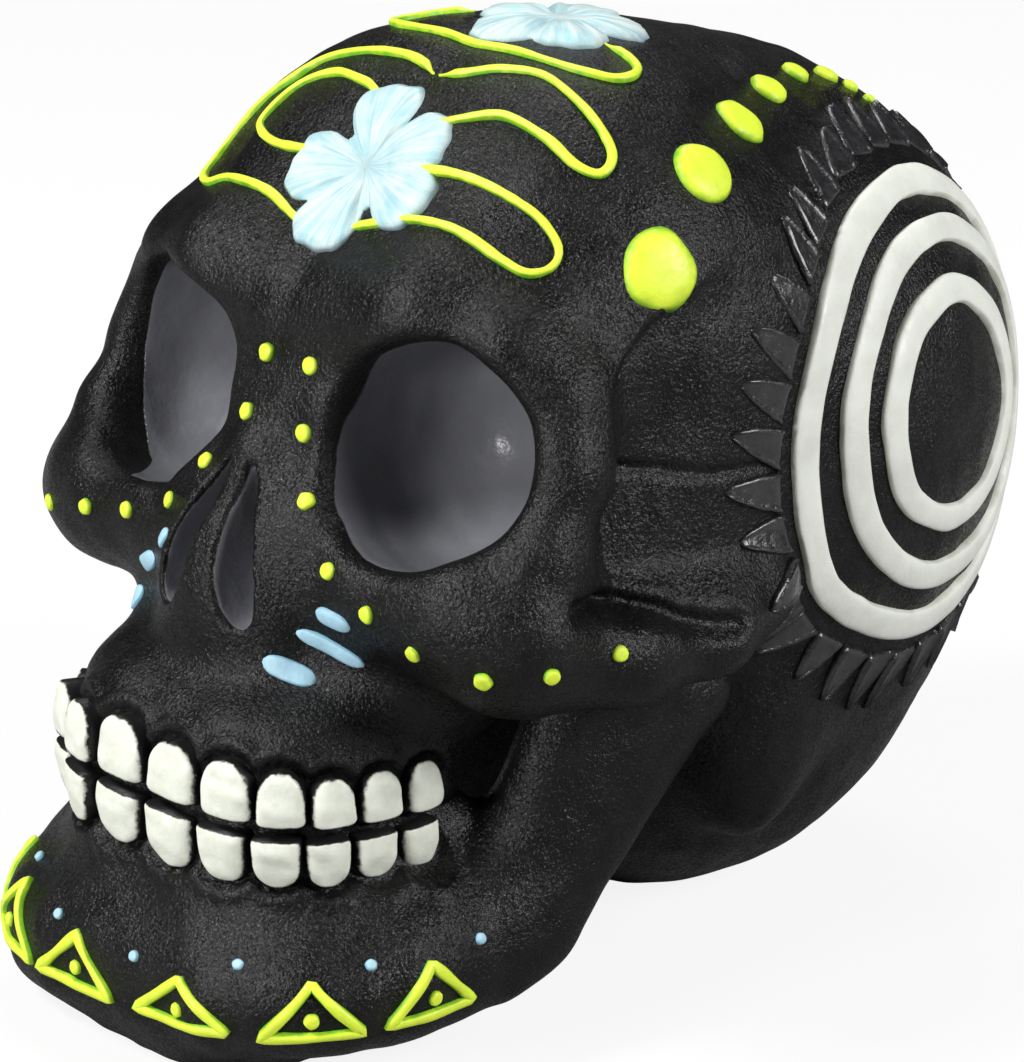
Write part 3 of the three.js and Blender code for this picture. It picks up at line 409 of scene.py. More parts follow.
def unevenness(points, size, seed):
    """Smooth random numbers between about -1 and 1 over space, for a cast and hand-painted surface."""
    chance = np.random.default_rng(seed)
    total = np.zeros(len(points))
    for _ in range(UNEVEN_WAVES):
        way = chance.normal(size=3)
        way *= math.tau / size / np.linalg.norm(way) * chance.uniform(0.7, 1.5)
        total += np.sin(np.asarray(points) @ way + chance.uniform(0, math.tau))
    return total / math.sqrt(UNEVEN_WAVES)


def show(name, data):
    shown = bpy.data.objects.new(name, data)
    bpy.context.scene.collection.objects.link(shown)
    return shown


def piece(name, points, faces, coat, node, flip=False, **values):
    """A mesh piece from places in millimetres. values are its numbers for the materials, at each place."""
    material, slot = coat
    mesh = bpy.data.meshes.new(name)
    mesh.from_pydata(world(points).tolist(), [], [face[::-1] for face in faces] if flip else faces)
    mesh.update()
    mesh.polygons.foreach_set("use_smooth", [True] * len(mesh.polygons))
    for key, numbers in values.items():
        numbers = np.asarray(numbers, np.float32)
        if numbers.ndim == 1:
            mesh.attributes.new(key, "FLOAT", "POINT").data.foreach_set("value", numbers)
        else:
            mesh.attributes.new(key, "FLOAT_VECTOR", "POINT").data.foreach_set("vector", numbers.ravel())
    shown = show(name, mesh)
    mesh.materials.append(material)
    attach(shown, "root")
    if node:
        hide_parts(node)


def sheet(rows, columns, base=0, ends=False):
    """Faces of a tube: rows of places, each closed round. ends closes both its ends too."""
    faces = []
    for row in range(rows):
        for k in range(columns):
            a, b = base + row * columns + k, base + row * columns + (k + 1) % columns
            faces.append((a, b, b + columns, a + columns))
    if ends:
        faces.append(tuple(reversed(range(columns))))
        faces.append(tuple(range(rows * columns, (rows + 1) * columns)))
    return faces


def strip(skin, path, half, rise, closed, across=8, roundness=0.6):
    """A bead of paint along a row of landed places. half gives its half width at each place."""
    path = np.asarray(path, float)
    ways = skin.ways(path)
    ahead = np.roll(path, -1, 0)
    behind = np.roll(path, 1, 0)
    if not closed:
        ahead[-1] = path[-1]
        behind[0] = path[0]
    aside = np.cross(ahead - behind, ways)
    aside /= np.linalg.norm(aside, axis=1, keepdims=True)
    rise = np.broadcast_to(rise, len(path))
    angles = np.linspace(-math.pi / 2, math.pi / 2, across + 1)
    points, rim = [], []
    for place, way, side, reach, height in zip(path, ways, aside, half, rise):
        for angle in angles:
            over = skin.near(place + side * reach * math.sin(angle), way)
            sunk = SINK * (math.cos(angle) < 0.1)
            points.append(over + way * (height * math.cos(angle) ** roundness - sunk))
            rim.append(abs(math.sin(angle)))
        for edge in (1, -1):
            points.append(skin.near(place + side * reach * edge, way) - way * 2 * SINK)
            rim.append(1.0)
    count = across + 3
    if not closed:
        return points, sheet(len(path) - 1, count, ends=True), rim
    faces = [tuple(place % len(points) for place in face) for face in sheet(len(path), count)]
    return points, faces, rim


def patch(skin, centre, reach, height, rings, steps):
    """A round or lobed patch of paint. reach and height give its edge and its thickness."""
    way = skin.ways([centre])[0]
    east = np.array([-way[1], way[0], 0.0])
    east /= np.linalg.norm(east)
    north = np.cross(way, east)
    points = [centre + way * height(0.0, 0.0)]
    rim = [0.0]
    flow = [(0.0, 0.0, 0.0)]
    for ring in range(1, rings + 1):
        part = ring / rings
        for k in range(steps):
            angle = math.tau * k / steps
            far = reach(angle) * part
            place = skin.near(centre + east * far * math.cos(angle) + north * far * math.sin(angle), way)
            points.append(place + way * (height(part, angle) if ring < rings else -SINK))
            rim.append(part)
            flow.append((part, math.cos(angle), math.sin(angle)))
    points.append(centre - way * (2 * SINK + 1.0))
    rim.append(1.0)
    flow.append((1.0, 0.0, 0.0))
    faces = [(0, 1 + k, 1 + (k + 1) % steps) for k in range(steps)]
    faces += [(a, d, c, b) for a, b, c, d in sheet(rings - 1, steps, 1)]
    last = 1 + (rings - 1) * steps
    faces += [(last + (k + 1) % steps, last + k, len(points) - 1) for k in range(steps)]
    return points, faces, rim, flow


# Chart of the crown: degrees round a point in the braincase, first turned from the face to the skull's
# left, then up from the horizon.
CHART = np.array([0.0, 0.0, 95.0])
FAR_OUT = 200.0


def on_chart(turn, rise):
    turn, rise = math.radians(turn), math.radians(rise)
    way = np.array([math.sin(turn) * math.cos(rise), -math.cos(turn) * math.cos(rise), math.sin(rise)])
    return CRANIUM.hit(CHART + way * FAR_OUT, -way)


def curve(places, steps):
    """Places along a smooth line through a few of them."""
    places = np.asarray(places, float)
    padded = np.vstack([2 * places[0] - places[1], places, 2 * places[-1] - places[-2]])
    line = []
    for p0, p1, p2, p3 in zip(padded, padded[1:], padded[2:], padded[3:]):
        for t in np.linspace(0, 1, steps, endpoint=False):
            line.append(0.5 * (2 * p1 + (p2 - p0) * t + (2 * p0 - 5 * p1 + 4 * p2 - p3) * t * t
                               + (3 * p1 - p0 - 3 * p2 + p3) * t ** 3))
    line.append(places[-1])
    return np.array(line)


def even(line, pitch, closed=False):
    """The same line with places at an even pitch."""
    line = np.asarray(line, float)
    if closed:
        line = np.vstack([line, line[:1]])
    lengths = np.concatenate([[0], np.cumsum(np.linalg.norm(np.diff(line, axis=0), axis=1))])
    count = max(int(round(lengths[-1] / pitch)), 3)
    at = np.linspace(0, lengths[-1], count + 1)
    if closed:
        at = at[:-1]
    return np.stack([np.interp(at, lengths, line[:, axis]) for axis in range(3)], 1)


# Materials


class Nodes:
    """Short names for building the nodes of a material or of the sky."""

    def __init__(self, owner):
        owner.use_nodes = True
        self.tree = owner.node_tree

    def add(self, kind, inputs=None, **settings):
        node = self.tree.nodes.new("ShaderNode" + kind)
        for key, value in settings.items():
            setattr(node, key, value)
        for key, value in (inputs or {}).items():
            if isinstance(value, bpy.types.NodeSocket):
                self.tree.links.new(value, node.inputs[key])
            else:
                node.inputs[key].default_value = value
        return node

    def place(self):
        return self.add("TexCoord").outputs["Object"]

    def noise(self, scale, detail=3.0, roughness=0.6, vector=None):
        inputs = {"Vector": vector or self.place(), "Scale": scale, "Detail": detail, "Roughness": roughness}
        return self.add("TexNoise", inputs).outputs["Fac"]

    def span(self, value, low, high, to_low=0.0, to_high=1.0):
        inputs = {"Value": value, "From Min": low, "From Max": high, "To Min": to_low, "To Max": to_high}
        return self.add("MapRange", inputs).outputs["Result"]

    def mix(self, factor, a, b):
        inputs = {0: factor, 6: a, 7: b}
        return self.add("Mix", inputs, data_type="RGBA").outputs[2]

    def math(self, operation, a, b=0.0):
        return self.add("Math", {0: a, 1: b}, operation=operation).outputs[0]

    def value(self, name):
        return self.add("Attribute", attribute_name=name).outputs["Fac"]

    def vector(self, name):
        return self.add("Attribute", attribute_name=name).outputs["Vector"]

    def bump(self, height, strength, distance, normal=None):
        inputs = {"Height": height, "Strength": strength, "Distance": distance}
        if normal:
            inputs["Normal"] = normal
        return self.add("Bump", inputs).outputs["Normal"]


class Paint(Nodes):
    """The nodes of a paint, round the shader that Blender gives a new material."""

    def __init__(self, name, roughness, specular, coat=0.0, coat_roughness=0.2):
        self.material = bpy.data.materials.new(name)
        super().__init__(self.material)
        self.shader = self.tree.nodes["Principled BSDF"]
        constants = {"Roughness": roughness, "Specular IOR Level": specular, "Coat Weight": coat,
                     "Coat Roughness": coat_roughness}
        for key, value in constants.items():
            self.shader.inputs[key].default_value = value

    def link(self, socket, name):
        self.tree.links.new(socket, self.shader.inputs[name])


def glitter(nodes, place, scale, tilt, normal):
    """Turns the flakes of a coat a little, each its own way. Gives the flakes' chance and the normal."""
    flakes = nodes.add("TexVoronoi", {"Vector": place, "Scale": scale})
    turned_by = nodes.add("VectorMath", {0: flakes.outputs["Color"], 1: (0.5, 0.5, 0.5)},
                          operation="SUBTRACT")
    turned_by = nodes.add("VectorMath", {0: turned_by.outputs[0], 3: tilt}, operation="SCALE")
    total = nodes.add("VectorMath", {0: normal, 1: turned_by.outputs[0]}, operation="ADD")
    total = nodes.add("VectorMath", {0: total.outputs[0]}, operation="NORMALIZE")
    chance = nodes.add("SeparateColor", {"Color": flakes.outputs["Color"]}).outputs[1]
    return chance, total.outputs[0]


def black_coat():
    """Grainy black paint with a fine glitter, and grey satin paint inside the sockets."""
    nodes = Paint("black_coat", 0.5, 0.15, coat=0.25, coat_roughness=0.18)
    place = nodes.place()
    grain = nodes.noise(1300, 2.0, 0.65, place)
    brush = nodes.noise(150, 4.0, 0.6, place)
    wobble = nodes.span(nodes.noise(160, 2.0, 0.5, place), 0.3, 0.7, -0.22, 0.22)
    inside = nodes.span(nodes.math("ADD", nodes.value("socket"), wobble), -0.18, 0.18)
    outside = nodes.math("SUBTRACT", 1.0, inside)
    black = nodes.mix(nodes.span(brush, 0.35, 0.7), (0.0035, 0.0035, 0.0035, 1), (0.0085, 0.0085, 0.0085, 1))
    satin = nodes.mix(nodes.span(nodes.noise(70, 3.0, 0.5, place), 0.3, 0.7), (0.15, 0.152, 0.168, 1),
                      (0.185, 0.187, 0.204, 1))
    nodes.link(nodes.mix(inside, black, satin), "Base Color")
    height = nodes.math("MULTIPLY", grain, nodes.math("MAXIMUM", outside, 0.06))
    fine = nodes.bump(height, 0.8, 0.0003)
    coarse = nodes.bump(nodes.noise(260, 3.0, 0.6, place), 0.4, 0.0006, fine)
    tilt = nodes.span(inside, 0.0, 1.0, 0.46, 0.03)
    chance, glittering = glitter(nodes, place, 3000.0, tilt, coarse)
    rough = nodes.span(chance, 0.15, 0.95, 0.48, 0.26)
    rough = nodes.math("ADD", rough, nodes.span(brush, 0.3, 0.7, -0.05, 0.09))
    satin_rough = nodes.span(nodes.noise(300, 3.0, 0.6, place), 0.3, 0.7, 0.3, 0.4)
    mixed = nodes.add("Mix", {0: inside, 2: rough, 3: satin_rough}, data_type="FLOAT").outputs[0]
    nodes.link(mixed, "Roughness")
    nodes.link(glittering, "Normal")
    nodes.link(nodes.bump(nodes.math("MULTIPLY", grain, outside), 0.8, 0.0003, coarse), "Coat Normal")
    return nodes.material


def black_gloss():
    """Thick glossy black paint with brush marks."""
    nodes = Paint("black_gloss", 0.22, 0.6, coat=0.5, coat_roughness=0.16)
    place = nodes.place()
    marks = nodes.noise(420, 4.0, 0.65, place)
    nodes.link(nodes.mix(nodes.span(marks, 0.3, 0.7), (0.008, 0.008, 0.009, 1), (0.024, 0.023, 0.026, 1)),
               "Base Color")
    nodes.link(nodes.span(marks, 0.3, 0.7, 0.22, 0.42), "Roughness")
    nodes.link(nodes.bump(marks, 0.75, 0.0007), "Normal")
    return nodes.material


def tooth_paint():
    """Ivory paint laid on the front of the teeth, with ragged edges that show the black coat."""
    nodes = Paint("ivory_paint", 0.42, 0.45)
    place = nodes.place()
    cloud = nodes.noise(330, 3.0, 0.55, place)
    ragged = nodes.span(nodes.noise(900, 4.0, 0.65, place), 0.3, 0.7, -0.2, 0.2)
    rim = nodes.math("ADD", nodes.value("rim"), ragged)
    tone = nodes.mix(nodes.span(cloud, 0.36, 0.7), (0.83, 0.86, 0.76, 1), (0.73, 0.75, 0.64, 1))
    # The ivory is darker toward the edge of the painted face.
    darker_edge = nodes.mix(nodes.span(rim, 0.3, 0.62), tone, (0.4, 0.41, 0.34, 1))
    nodes.link(nodes.mix(nodes.span(rim, 0.6, 0.78), darker_edge, (0.009, 0.009, 0.01, 1)), "Base Color")
    nodes.link(nodes.bump(nodes.noise(480, 4.0, 0.6, place), 0.4, 0.0005), "Normal")
    return nodes.material


def paint(name, thick, thin_shaded_edge, mottle, edge):
    """Thick hand-laid paint that is darker at its edge: thinner paint there, and painted shade down the
    sloping sides of a bead.
    """
    nodes = Paint(name, 0.42, 0.45)
    place = nodes.place()
    cloud = nodes.noise(mottle, 3.0, 0.55, place)
    rim = nodes.math("ADD", nodes.value("rim"), nodes.span(cloud, 0.3, 0.7, -0.06, 0.06))
    tone = nodes.mix(nodes.span(cloud, 0.38, 0.72), thick, tuple(0.86 * c for c in thick[:3]) + (1,))
    # The edge colour stands for thinner paint and also for painted shade on the sides of the bead.
    nodes.link(nodes.mix(nodes.span(rim, *edge), tone, thin_shaded_edge), "Base Color")
    nodes.link(nodes.span(nodes.noise(700, 2.0, 0.5, place), 0.3, 0.7, 0.34, 0.54), "Roughness")
    nodes.link(nodes.bump(nodes.noise(520, 4.0, 0.6, place), 0.35, 0.0004), "Normal")
    return nodes.material


def petal_paint():
    """Pale blue and white paint in streaks that run out along the petals."""
    nodes = Paint("pale_blue_paint", 0.45, 0.45)
    part = nodes.add("SeparateXYZ", {"Vector": nodes.vector("flow")})
    stretched = nodes.add("CombineXYZ", {"X": nodes.math("MULTIPLY", part.outputs[0], 0.7),
                                         "Y": nodes.math("MULTIPLY", part.outputs[1], 5.0),
                                         "Z": nodes.math("MULTIPLY", part.outputs[2], 5.0)}).outputs[0]
    streak = nodes.noise(2.4, 4.0, 0.6, stretched)
    cloud = nodes.noise(150, 3.0, 0.6)
    blend = nodes.math("ADD", nodes.math("MULTIPLY", streak, 0.65), nodes.math("MULTIPLY", cloud, 0.35))
    tone = nodes.mix(nodes.span(blend, 0.4, 0.6), (0.36, 0.6, 0.66, 1), (0.64, 0.73, 0.71, 1))
    rim = nodes.span(nodes.value("rim"), 0.94, 1.0)
    nodes.link(nodes.mix(rim, tone, (0.34, 0.47, 0.52, 1)), "Base Color")
    nodes.link(nodes.span(cloud, 0.3, 0.7, 0.36, 0.55), "Roughness")
    nodes.link(nodes.bump(blend, 0.55, 0.0006), "Normal")
    return nodes.material


# Each coat is a material and the slot that it belongs to
BLACK_COAT = black_coat(), "black_coat"
BLACK_GLOSS = black_gloss(), "black_gloss"
# The second colour of each paint is its edge colour: thinner paint, and painted shade down the sides of the
# beads.
CREAM = paint("cream_paint", (0.83, 0.85, 0.78, 1), (0.5, 0.51, 0.42, 1), 120, (0.93, 1.02)), "cream_paint"
IVORY = tooth_paint(), "cream_paint"
NEON = paint("neon_paint", (0.8, 0.99, 0.06, 1), (0.16, 0.5, 0.012, 1), 300, (0.8, 1.0)), "neon_paint"
PETAL = petal_paint(), "pale_blue_paint"
BLUE = paint("blue_paint", (0.42, 0.68, 0.82, 1), (0.2, 0.42, 0.55, 1), 420, (0.75, 1.0)), "pale_blue_paint"

# Cranium and jaw

CAST_UNEVENNESS = 0.16
ORBIT_MARGIN = 2.6
NOSTRIL_MARGIN = 1.0
SOCKET_REACH = 1.5
REAR_REACH = 2.5
REAR_REACH_FROM = (1, 4)
# The margin grows beyond a place across, and on the skull's right a slanted limit starts at another
MARGIN_FROM = 44.0
MARGIN_GROWTH = 0.35
LIMIT_FROM = 40.0
LIMIT_SLANT = 1.2
# The edge of the grey paint on a socket's outer wall: across, along and up, and how it turns
RIM_PLACE = (51.5, -56.8, 109.8)
RIM_TURNS = (0.5, 0.17)
RIM_FROM = 34.0


def socket_depth(points):
    """How far a place lies behind the edge of the grey paint in a socket or nostril, in millimetres."""
    shares = tuple(np.asarray(points).T / HEAD)
    deep = -head_form(shares) * HEAD
    orbit = orbit_form(shares) * HEAD
    nostril = lump(shares, top=NOSTRIL_TOP, **NOSTRIL) * HEAD
    across = np.abs(points[:, 0])
    margin = ORBIT_MARGIN + MARGIN_GROWTH * np.maximum(across - MARGIN_FROM, 0)
    behind = points[:, 1] - RIM_PLACE[1] - RIM_TURNS[0] * (across - RIM_PLACE[0])
    behind -= RIM_TURNS[1] * (points[:, 2] - RIM_PLACE[2])
    reach = SOCKET_REACH + REAR_REACH * smooth_step(behind, *REAR_REACH_FROM)
    in_orbit = np.maximum(deep - margin, np.minimum(behind, across - RIM_FROM))
    right_limit = behind + LIMIT_SLANT * np.maximum(LIMIT_FROM - across, 0)
    in_orbit = np.where(points[:, 0] < 0, np.minimum(in_orbit, right_limit), in_orbit)
    in_orbit = np.minimum(in_orbit, reach - orbit)
    in_nostril = np.minimum(deep - NOSTRIL_MARGIN, SOCKET_REACH - nostril)
    return np.clip(np.maximum(in_orbit, in_nostril), -2, 2)


def tooth_relief(points, upper):
    """How far the gum stands out round the teeth, in millimetres: a groove along each, an arch beyond it."""
    groove, arch = np.zeros(len(points)), np.zeros(len(points))
    for _, side in SIDES:
        for n in range(len(TOOTH_WIDTHS)):
            place, out, width, _, start, height, _ = tooth_seat(side, n, upper)
            off = points[:, :2] - place
            along = off @ np.array([-out[1], out[0]])
            rise = (points[:, 2] - start) * (1 if upper else -1)
            close = (np.abs(along) < width) & (np.abs(off @ out) < GUM_SEARCH)
            close &= np.abs(rise) < 2 * height
            near = np.flatnonzero(close)
            along, rise = along[near], rise[near]
            parts = np.linspace(0, 1, 25)
            half = np.array([tooth_half(part, upper) for part in parts]) * width * 0.45
            edge = np.array([(sign * reach, part * height) for part, reach in zip(parts, half)
                             for sign in (1, -1)])
            gap = np.hypot(along[:, None] - edge[:, 0], rise[:, None] - edge[:, 1]).min(axis=1)
            within = (rise > 0) & (rise < height) & (np.abs(along) < np.interp(rise / height, parts, half))
            gap = np.where(within, -gap, gap)
            along_it = np.exp(-(np.maximum(gap - GUM_GROOVE_GAP, 0) / GUM_GROOVE_REACH) ** 2)
            groove[near] = np.maximum(groove[near], along_it)
            beyond = np.exp(-((gap - GUM_ARCH_GAP) / GUM_ARCH_REACH) ** 2)
            beyond *= smooth_step(rise, 0.25 * height, 0.8 * height)
            arch[near] = np.maximum(arch[near], beyond * (GUM_ARCH_LOW if side < 0 and n > 1 else 1))
    return GUM_ARCH * arch * (1 - groove) - GUM_GROOVE * groove


def skin_piece(name, skin, node, seed, upper):
    rough = CAST_UNEVENNESS * (unevenness(skin.points, 22, seed) + 0.6 * unevenness(skin.points, 9, seed + 1))
    rough += tooth_relief(skin.points, upper)
    rough = np.where(skin.points[:, 2] < 0.5, 0, rough)
    points = skin.points + skin.ways(skin.points) * rough[:, None]
    piece(name, points, skin.faces, BLACK_COAT, node, socket=socket_depth(skin.points))


# Medallions: three rings and a sunburst on each side

RINGS = {
    "outer": dict(at=(36.0, 101.6), high=43.0, wide=0.975, band=6.2),
    "middle": dict(at=(38.3, 102.6), high=34.1, wide=0.945, band=5.6),
    "inner": dict(at=(36.5, 103.6), high=23.3, wide=0.92, band=5.6),
}
BESIDE = 150.0
RING_RISE = 1.5
RING_STEPS = 180
SPIKES = 36
SPIKE_LENGTH = 12.6
SPIKE_GROOVE = 2.3
SPIKE_TIP = 0.12
# A spike's body, the lip round it and where the lip runs, as a share of the way out to the edge
SPIKE_RISE = 0.7
SPIKE_LIP = 0.55
LIP_SHARE = 0.82
LIP_REACH_SHARE = 0.12


def medallion_place(side, angle, name, inset):
    shape = RINGS[name]
    high = shape["high"] - inset
    y = shape["at"][0] + high * shape["wide"] * math.cos(angle)
    z = shape["at"][1] + high * math.sin(angle)
    return CRANIUM.hit((side * BESIDE, y, z), (-side, 0, 0))


def swings(seed, low, high, counts):
    """A way to swing an outline in and out a little, as a function of the angle."""
    chance = np.random.default_rng(seed)
    parts = [(chance.uniform(0, math.tau), chance.uniform(low, high), k) for k in counts]
    return lambda angle: sum(size * math.sin(times * angle + start) for start, size, times in parts)


def ring(side_name, side, name):
    band = RINGS[name]["band"]
    swing = swings(11 + len(name) + (side > 0), 0.1, 0.4, (2, 3, 5, 8))
    path = []
    for k in range(RING_STEPS):
        angle = math.tau * k / RING_STEPS
        path.append(medallion_place(side, side * angle, name, band / 2 - swing(angle) * 0.5))
    half = band / 2 * (1 + 0.05 * unevenness(path, 30, 5) + 0.03 * unevenness(path, 9, 6))
    points, faces, rim = strip(CRANIUM, path, half, RING_RISE, True, across=10, roundness=0.35)
    node = f"{name}_ring_{side_name}"
    piece(f"{name}_ring_skin_{side_name}", points, faces, CREAM, node, side < 0, rim=rim)


def sunburst(side_name, side):
    """Spikes of thick gloss paint, each a broad flap with a raised edge, off the outer ring by a groove."""
    chance = np.random.default_rng(23 if side > 0 else 29)
    points, faces, rim = [], [], []
    rows, across = 12, 12
    pitch = math.tau * (RINGS["outer"]["high"] + SPIKE_GROOVE) / SPIKES
    for k in range(SPIKES):
        angle = side * math.tau * (k + 0.5 + chance.uniform(-0.06, 0.06)) / SPIKES
        root = medallion_place(side, angle, "outer", -SPIKE_GROOVE)
        way = CRANIUM.ways([root])[0]
        along = root - medallion_place(side, angle + side * chance.uniform(-0.03, 0.03), "outer", 6)
        along -= way * (along @ way)
        along *= SPIKE_LENGTH * chance.uniform(0.84, 1.12) / np.linalg.norm(along)
        tip = CRANIUM.near(root + along, way)
        way = CRANIUM.ways([(root + tip) / 2])[0]
        along = tip - root
        aside = np.cross(along, way)
        aside /= np.linalg.norm(aside)
        lean = chance.uniform(0.5, 1.1)
        slope = chance.uniform(-0.3, 0.5)
        base = len(points)
        for row in range(rows + 1):
            part = row / rows
            uneven = 1 + 0.05 * chance.uniform(-1, 1)
            width = pitch * 0.5 * ((1 - part) ** 0.85 * (1 + 0.6 * part)) * uneven + SPIKE_TIP
            for step in range(across + 1):
                offset = 2 * step / across - 1
                middle = lean * pitch * 0.5 * part
                place = CRANIUM.near(root + along * part + aside * (middle + width * offset), way)
                edge = max(abs(offset), 1 - row, (part - 0.9) / 0.1)
                lip = math.exp(-((edge - LIP_SHARE) / LIP_REACH_SHARE) ** 2)
                body = SPIKE_RISE + slope * offset - 0.15 * part + SPIKE_LIP * lip
                points.append(place + way * (body if edge < 0.97 else -SINK))
                rim.append(min(edge, 1.0))
        grid = base + np.arange((rows + 1) * (across + 1)).reshape(rows + 1, across + 1)
        corners = grid[:-1, :-1], grid[:-1, 1:], grid[1:, 1:], grid[1:, :-1]
        faces += np.stack(corners, -1).reshape(-1, 4).tolist()
        border = np.concatenate([grid[0], grid[1:, -1], grid[-1, -2::-1], grid[-2:0:-1, 0]]).tolist()
        under = len(points)
        points.append(CRANIUM.near(root + along * 0.4, way) - way * 1.4)
        rim.append(1.0)
        faces += [(end, start, under) for start, end in zip(border, border[1:] + border[:1])]
    node = f"sunburst_{side_name}"
    piece(f"sunburst_skin_{side_name}", points, faces, BLACK_GLOSS, node, side < 0, rim=rim)


# Crown dots, as a place on the chart and a width

CROWN_DOTS = [(61, 36.5, 15), (74.3, 49.4, 12.6), (97, 57.6, 10.8), (127, 59.5, 8), (147, 55.5, 6),
              (155, 49.5, 5.2)]
SMALL_DOTS = [(154, 46, 3.6), (151.5, 43.5, 2.8)]
CROWN_DOT_RISE = 1.3


def dot(name, skin, centre, width, coat, seed, rise, node=None):
    swing = swings(seed, 0.0, 0.035, (2, 3, 5))

    def reach(angle):
        return width / 2 * (1 + swing(angle))

    def height(part, angle):
        return rise * (1 - part ** 4) ** 0.6

    points, faces, rim, _ = patch(skin, centre, reach, height, rings=6, steps=32)
    piece(name, points, faces, coat, node, rim=rim)


# Flowers: the middle on the chart, the way of each petal's tip in degrees, and how far the petals reach

FLOWERS = {
    "front": dict(at=(1.0, 49.6), tips=(112, 42, -14, -97, -164), size=18),
    "top": dict(at=(31, 87.2), tips=(20, 92, 164, 236, 308), size=17.5),
}
PETAL_HALF = math.radians(36)
PETAL_RISE = 0.75
PETAL_EDGE_RISE = 1.0
PETAL_VEIN = 0.18
FLOWER_MIDDLE_RISE = 0.5


def flower(name, at, tips, size):
    centre = on_chart(*at)
    way = CRANIUM.ways([centre])[0]
    chance = np.random.default_rng(41 + len(name))
    petals = [(math.radians(tip), chance.uniform(0.94, 1.06), chance.uniform(0.9, 1.1)) for tip in tips]

    def petal_of(angle):
        return min(petals, key=lambda petal: abs(math.remainder(angle - petal[0], math.tau)))

    def reach(angle):
        tip, length, width = petal_of(angle)
        off = math.remainder(angle - tip, math.tau) / (width * PETAL_HALF)
        lobe = math.sqrt(max(1 - abs(off) ** 2.2, 0)) if abs(off) < 1 else 0
        return size * length * (0.5 + 0.5 * lobe) + 0.35 * math.sin(9 * angle) + 0.2 * math.sin(23 * angle)

    def height(part, angle):
        tip, _, width = petal_of(angle)
        off = abs(math.remainder(angle - tip, math.tau)) / PETAL_HALF
        valley = (1 - smooth_step(off, 0.55, 1.0)) * smooth_step(part, 0.05, 0.5)
        vein = PETAL_VEIN * math.cos(off * math.pi * 3) * smooth_step(part, 0.2, 0.5)
        middle = FLOWER_MIDDLE_RISE * (1 - smooth_step(part, 0.0, 0.2))
        body = PETAL_RISE + PETAL_EDGE_RISE * valley + vein + middle
        return body * (1 - part ** 6) ** 0.5

    points, faces, rim, flow = patch(CRANIUM, centre, reach, height, rings=14, steps=150)
    piece(f"flower_skin_{name}", points, faces, PETAL, f"flower_{name}", rim=rim, flow=flow)
    return centre


# Scrolls on the crown, as places on the chart

SCROLLS = {
    "brow_left": [(10, 50), (18, 50), (24, 49.5), (31, 47.9), (38, 45.2), (42.3, 42.6), (44.8, 39.2),
                  (43.7, 36.6), (40.3, 35.6), (36.3, 37.2), (30.5, 40.1), (24.8, 41.8), (17, 42.5),
                  (8, 41.2), (3.6, 40.1)],
    "brow_right": [(-8, 59), (-14, 60), (-20, 60), (-30.6, 58.3), (-36.3, 53.7), (-36.8, 47.7),
                   (-34.3, 46.1), (-25.7, 46.4), (-14, 49), (-10, 50)],
    "side_left": [(10, 56), (14, 57), (20, 58), (30.9, 58.6), (41.4, 54.8), (47.9, 50.3), (52.7, 49.1),
                  (55.1, 52.6), (50.3, 59.8), (39.4, 66.4), (24.2, 68.1), (12, 67), (1.4, 66)],
    "side_right": [(-1.4, 66), (-9, 67), (-19.3, 66.6), (-30.9, 64), (-41, 58.5), (-43.5, 51.9),
                   (-45.5, 46), (-45.5, 40), (-40, 36.3), (-33.7, 36.4), (-27.7, 39), (-17.2, 40.7),
                   (-6.4, 39.2), (0, 40)],
    "crown": [(70, 76.5), (74, 72), (71.9, 68), (62.5, 65.9), (51.8, 67.6), (25, 72.9), (0, 73.8),
              (-25, 72.9), (-51.8, 67.6), (-62.5, 65.9), (-71.9, 68), (-74, 72), (-70, 76.5)],
}
SCROLL_BAND = 1.75
SCROLL_RISE = 1.1
SCROLL_HOLE = 9.0


def scroll(name, places, flower_centres):
    line = curve(places, 12)
    path = even([on_chart(turn, rise) for turn, rise in line], PITCH)
    gaps = [min(np.linalg.norm(place - centre) for centre in flower_centres) for place in path]
    path = path[np.array(gaps) > SCROLL_HOLE]
    steps = np.arange(len(path))
    taper = np.clip(np.minimum(steps, steps[::-1]) / 4, 0.35, 1)
    half = SCROLL_BAND / 2 * taper * (1 + 0.12 * unevenness(path, 12, 9) + 0.05 * unevenness(path, 4, 10))
    points, faces, rim = strip(CRANIUM, path, half, SCROLL_RISE * taper, False)
    piece(f"scroll_skin_{name}", points, faces, NEON, f"scroll_{name}", rim=rim)


# Small marks of the face, as (x, y, z) in millimetres

FACE_DOTS = {
    "left": [(8.6, -69.6, 122.1), (10.5, -73.2, 111.1), (16.1, -77.9, 101.2), (24.9, -80.9, 91.4),
             (34.6, -80.7, 86), (45.5, -80.1, 81.7), (57.9, -75.6, 78.9), (66.3, -67.5, 80),
             (67.6, -52.6, 80.5)],
    "right": [(-2.3, -70.2, 122.2), (-3.1, -74.4, 112.1), (-9.8, -78.3, 102.1), (-16, -81.7, 94.1),
              (-28.6, -81.3, 88.9), (-40.9, -80.8, 86.2), (-54.1, -78.4, 83.1), (-65.5, -68, 80),
              (-67.6, -52.6, 80.5)],
}
FACE_DOT_WIDTHS = [3.6, 3.6, 3.5, 3.4, 3.5, 3.4, 3.6, 3.3, 3.3]
STROKES = {
    "left": [((22.2, -81.4, 83.3), (29.8, -80.3, 82.1), 3.6), ((18.7, -82.9, 79), (30.1, -77.5, 74.4), 3.0),
             ((14.1, -86.7, 73.5), (22.8, -82.1, 70.6), 4.0)],
    "right": [((-12.4, -85.4, 90.3), (-14.6, -84.6, 86.6), 2.8), ((-20.5, -82, 82.3), (-27, -79, 78.3), 3.6),
              ((-29.5, -78.5, 73), (-32, -77, 68), 3.4)],
}
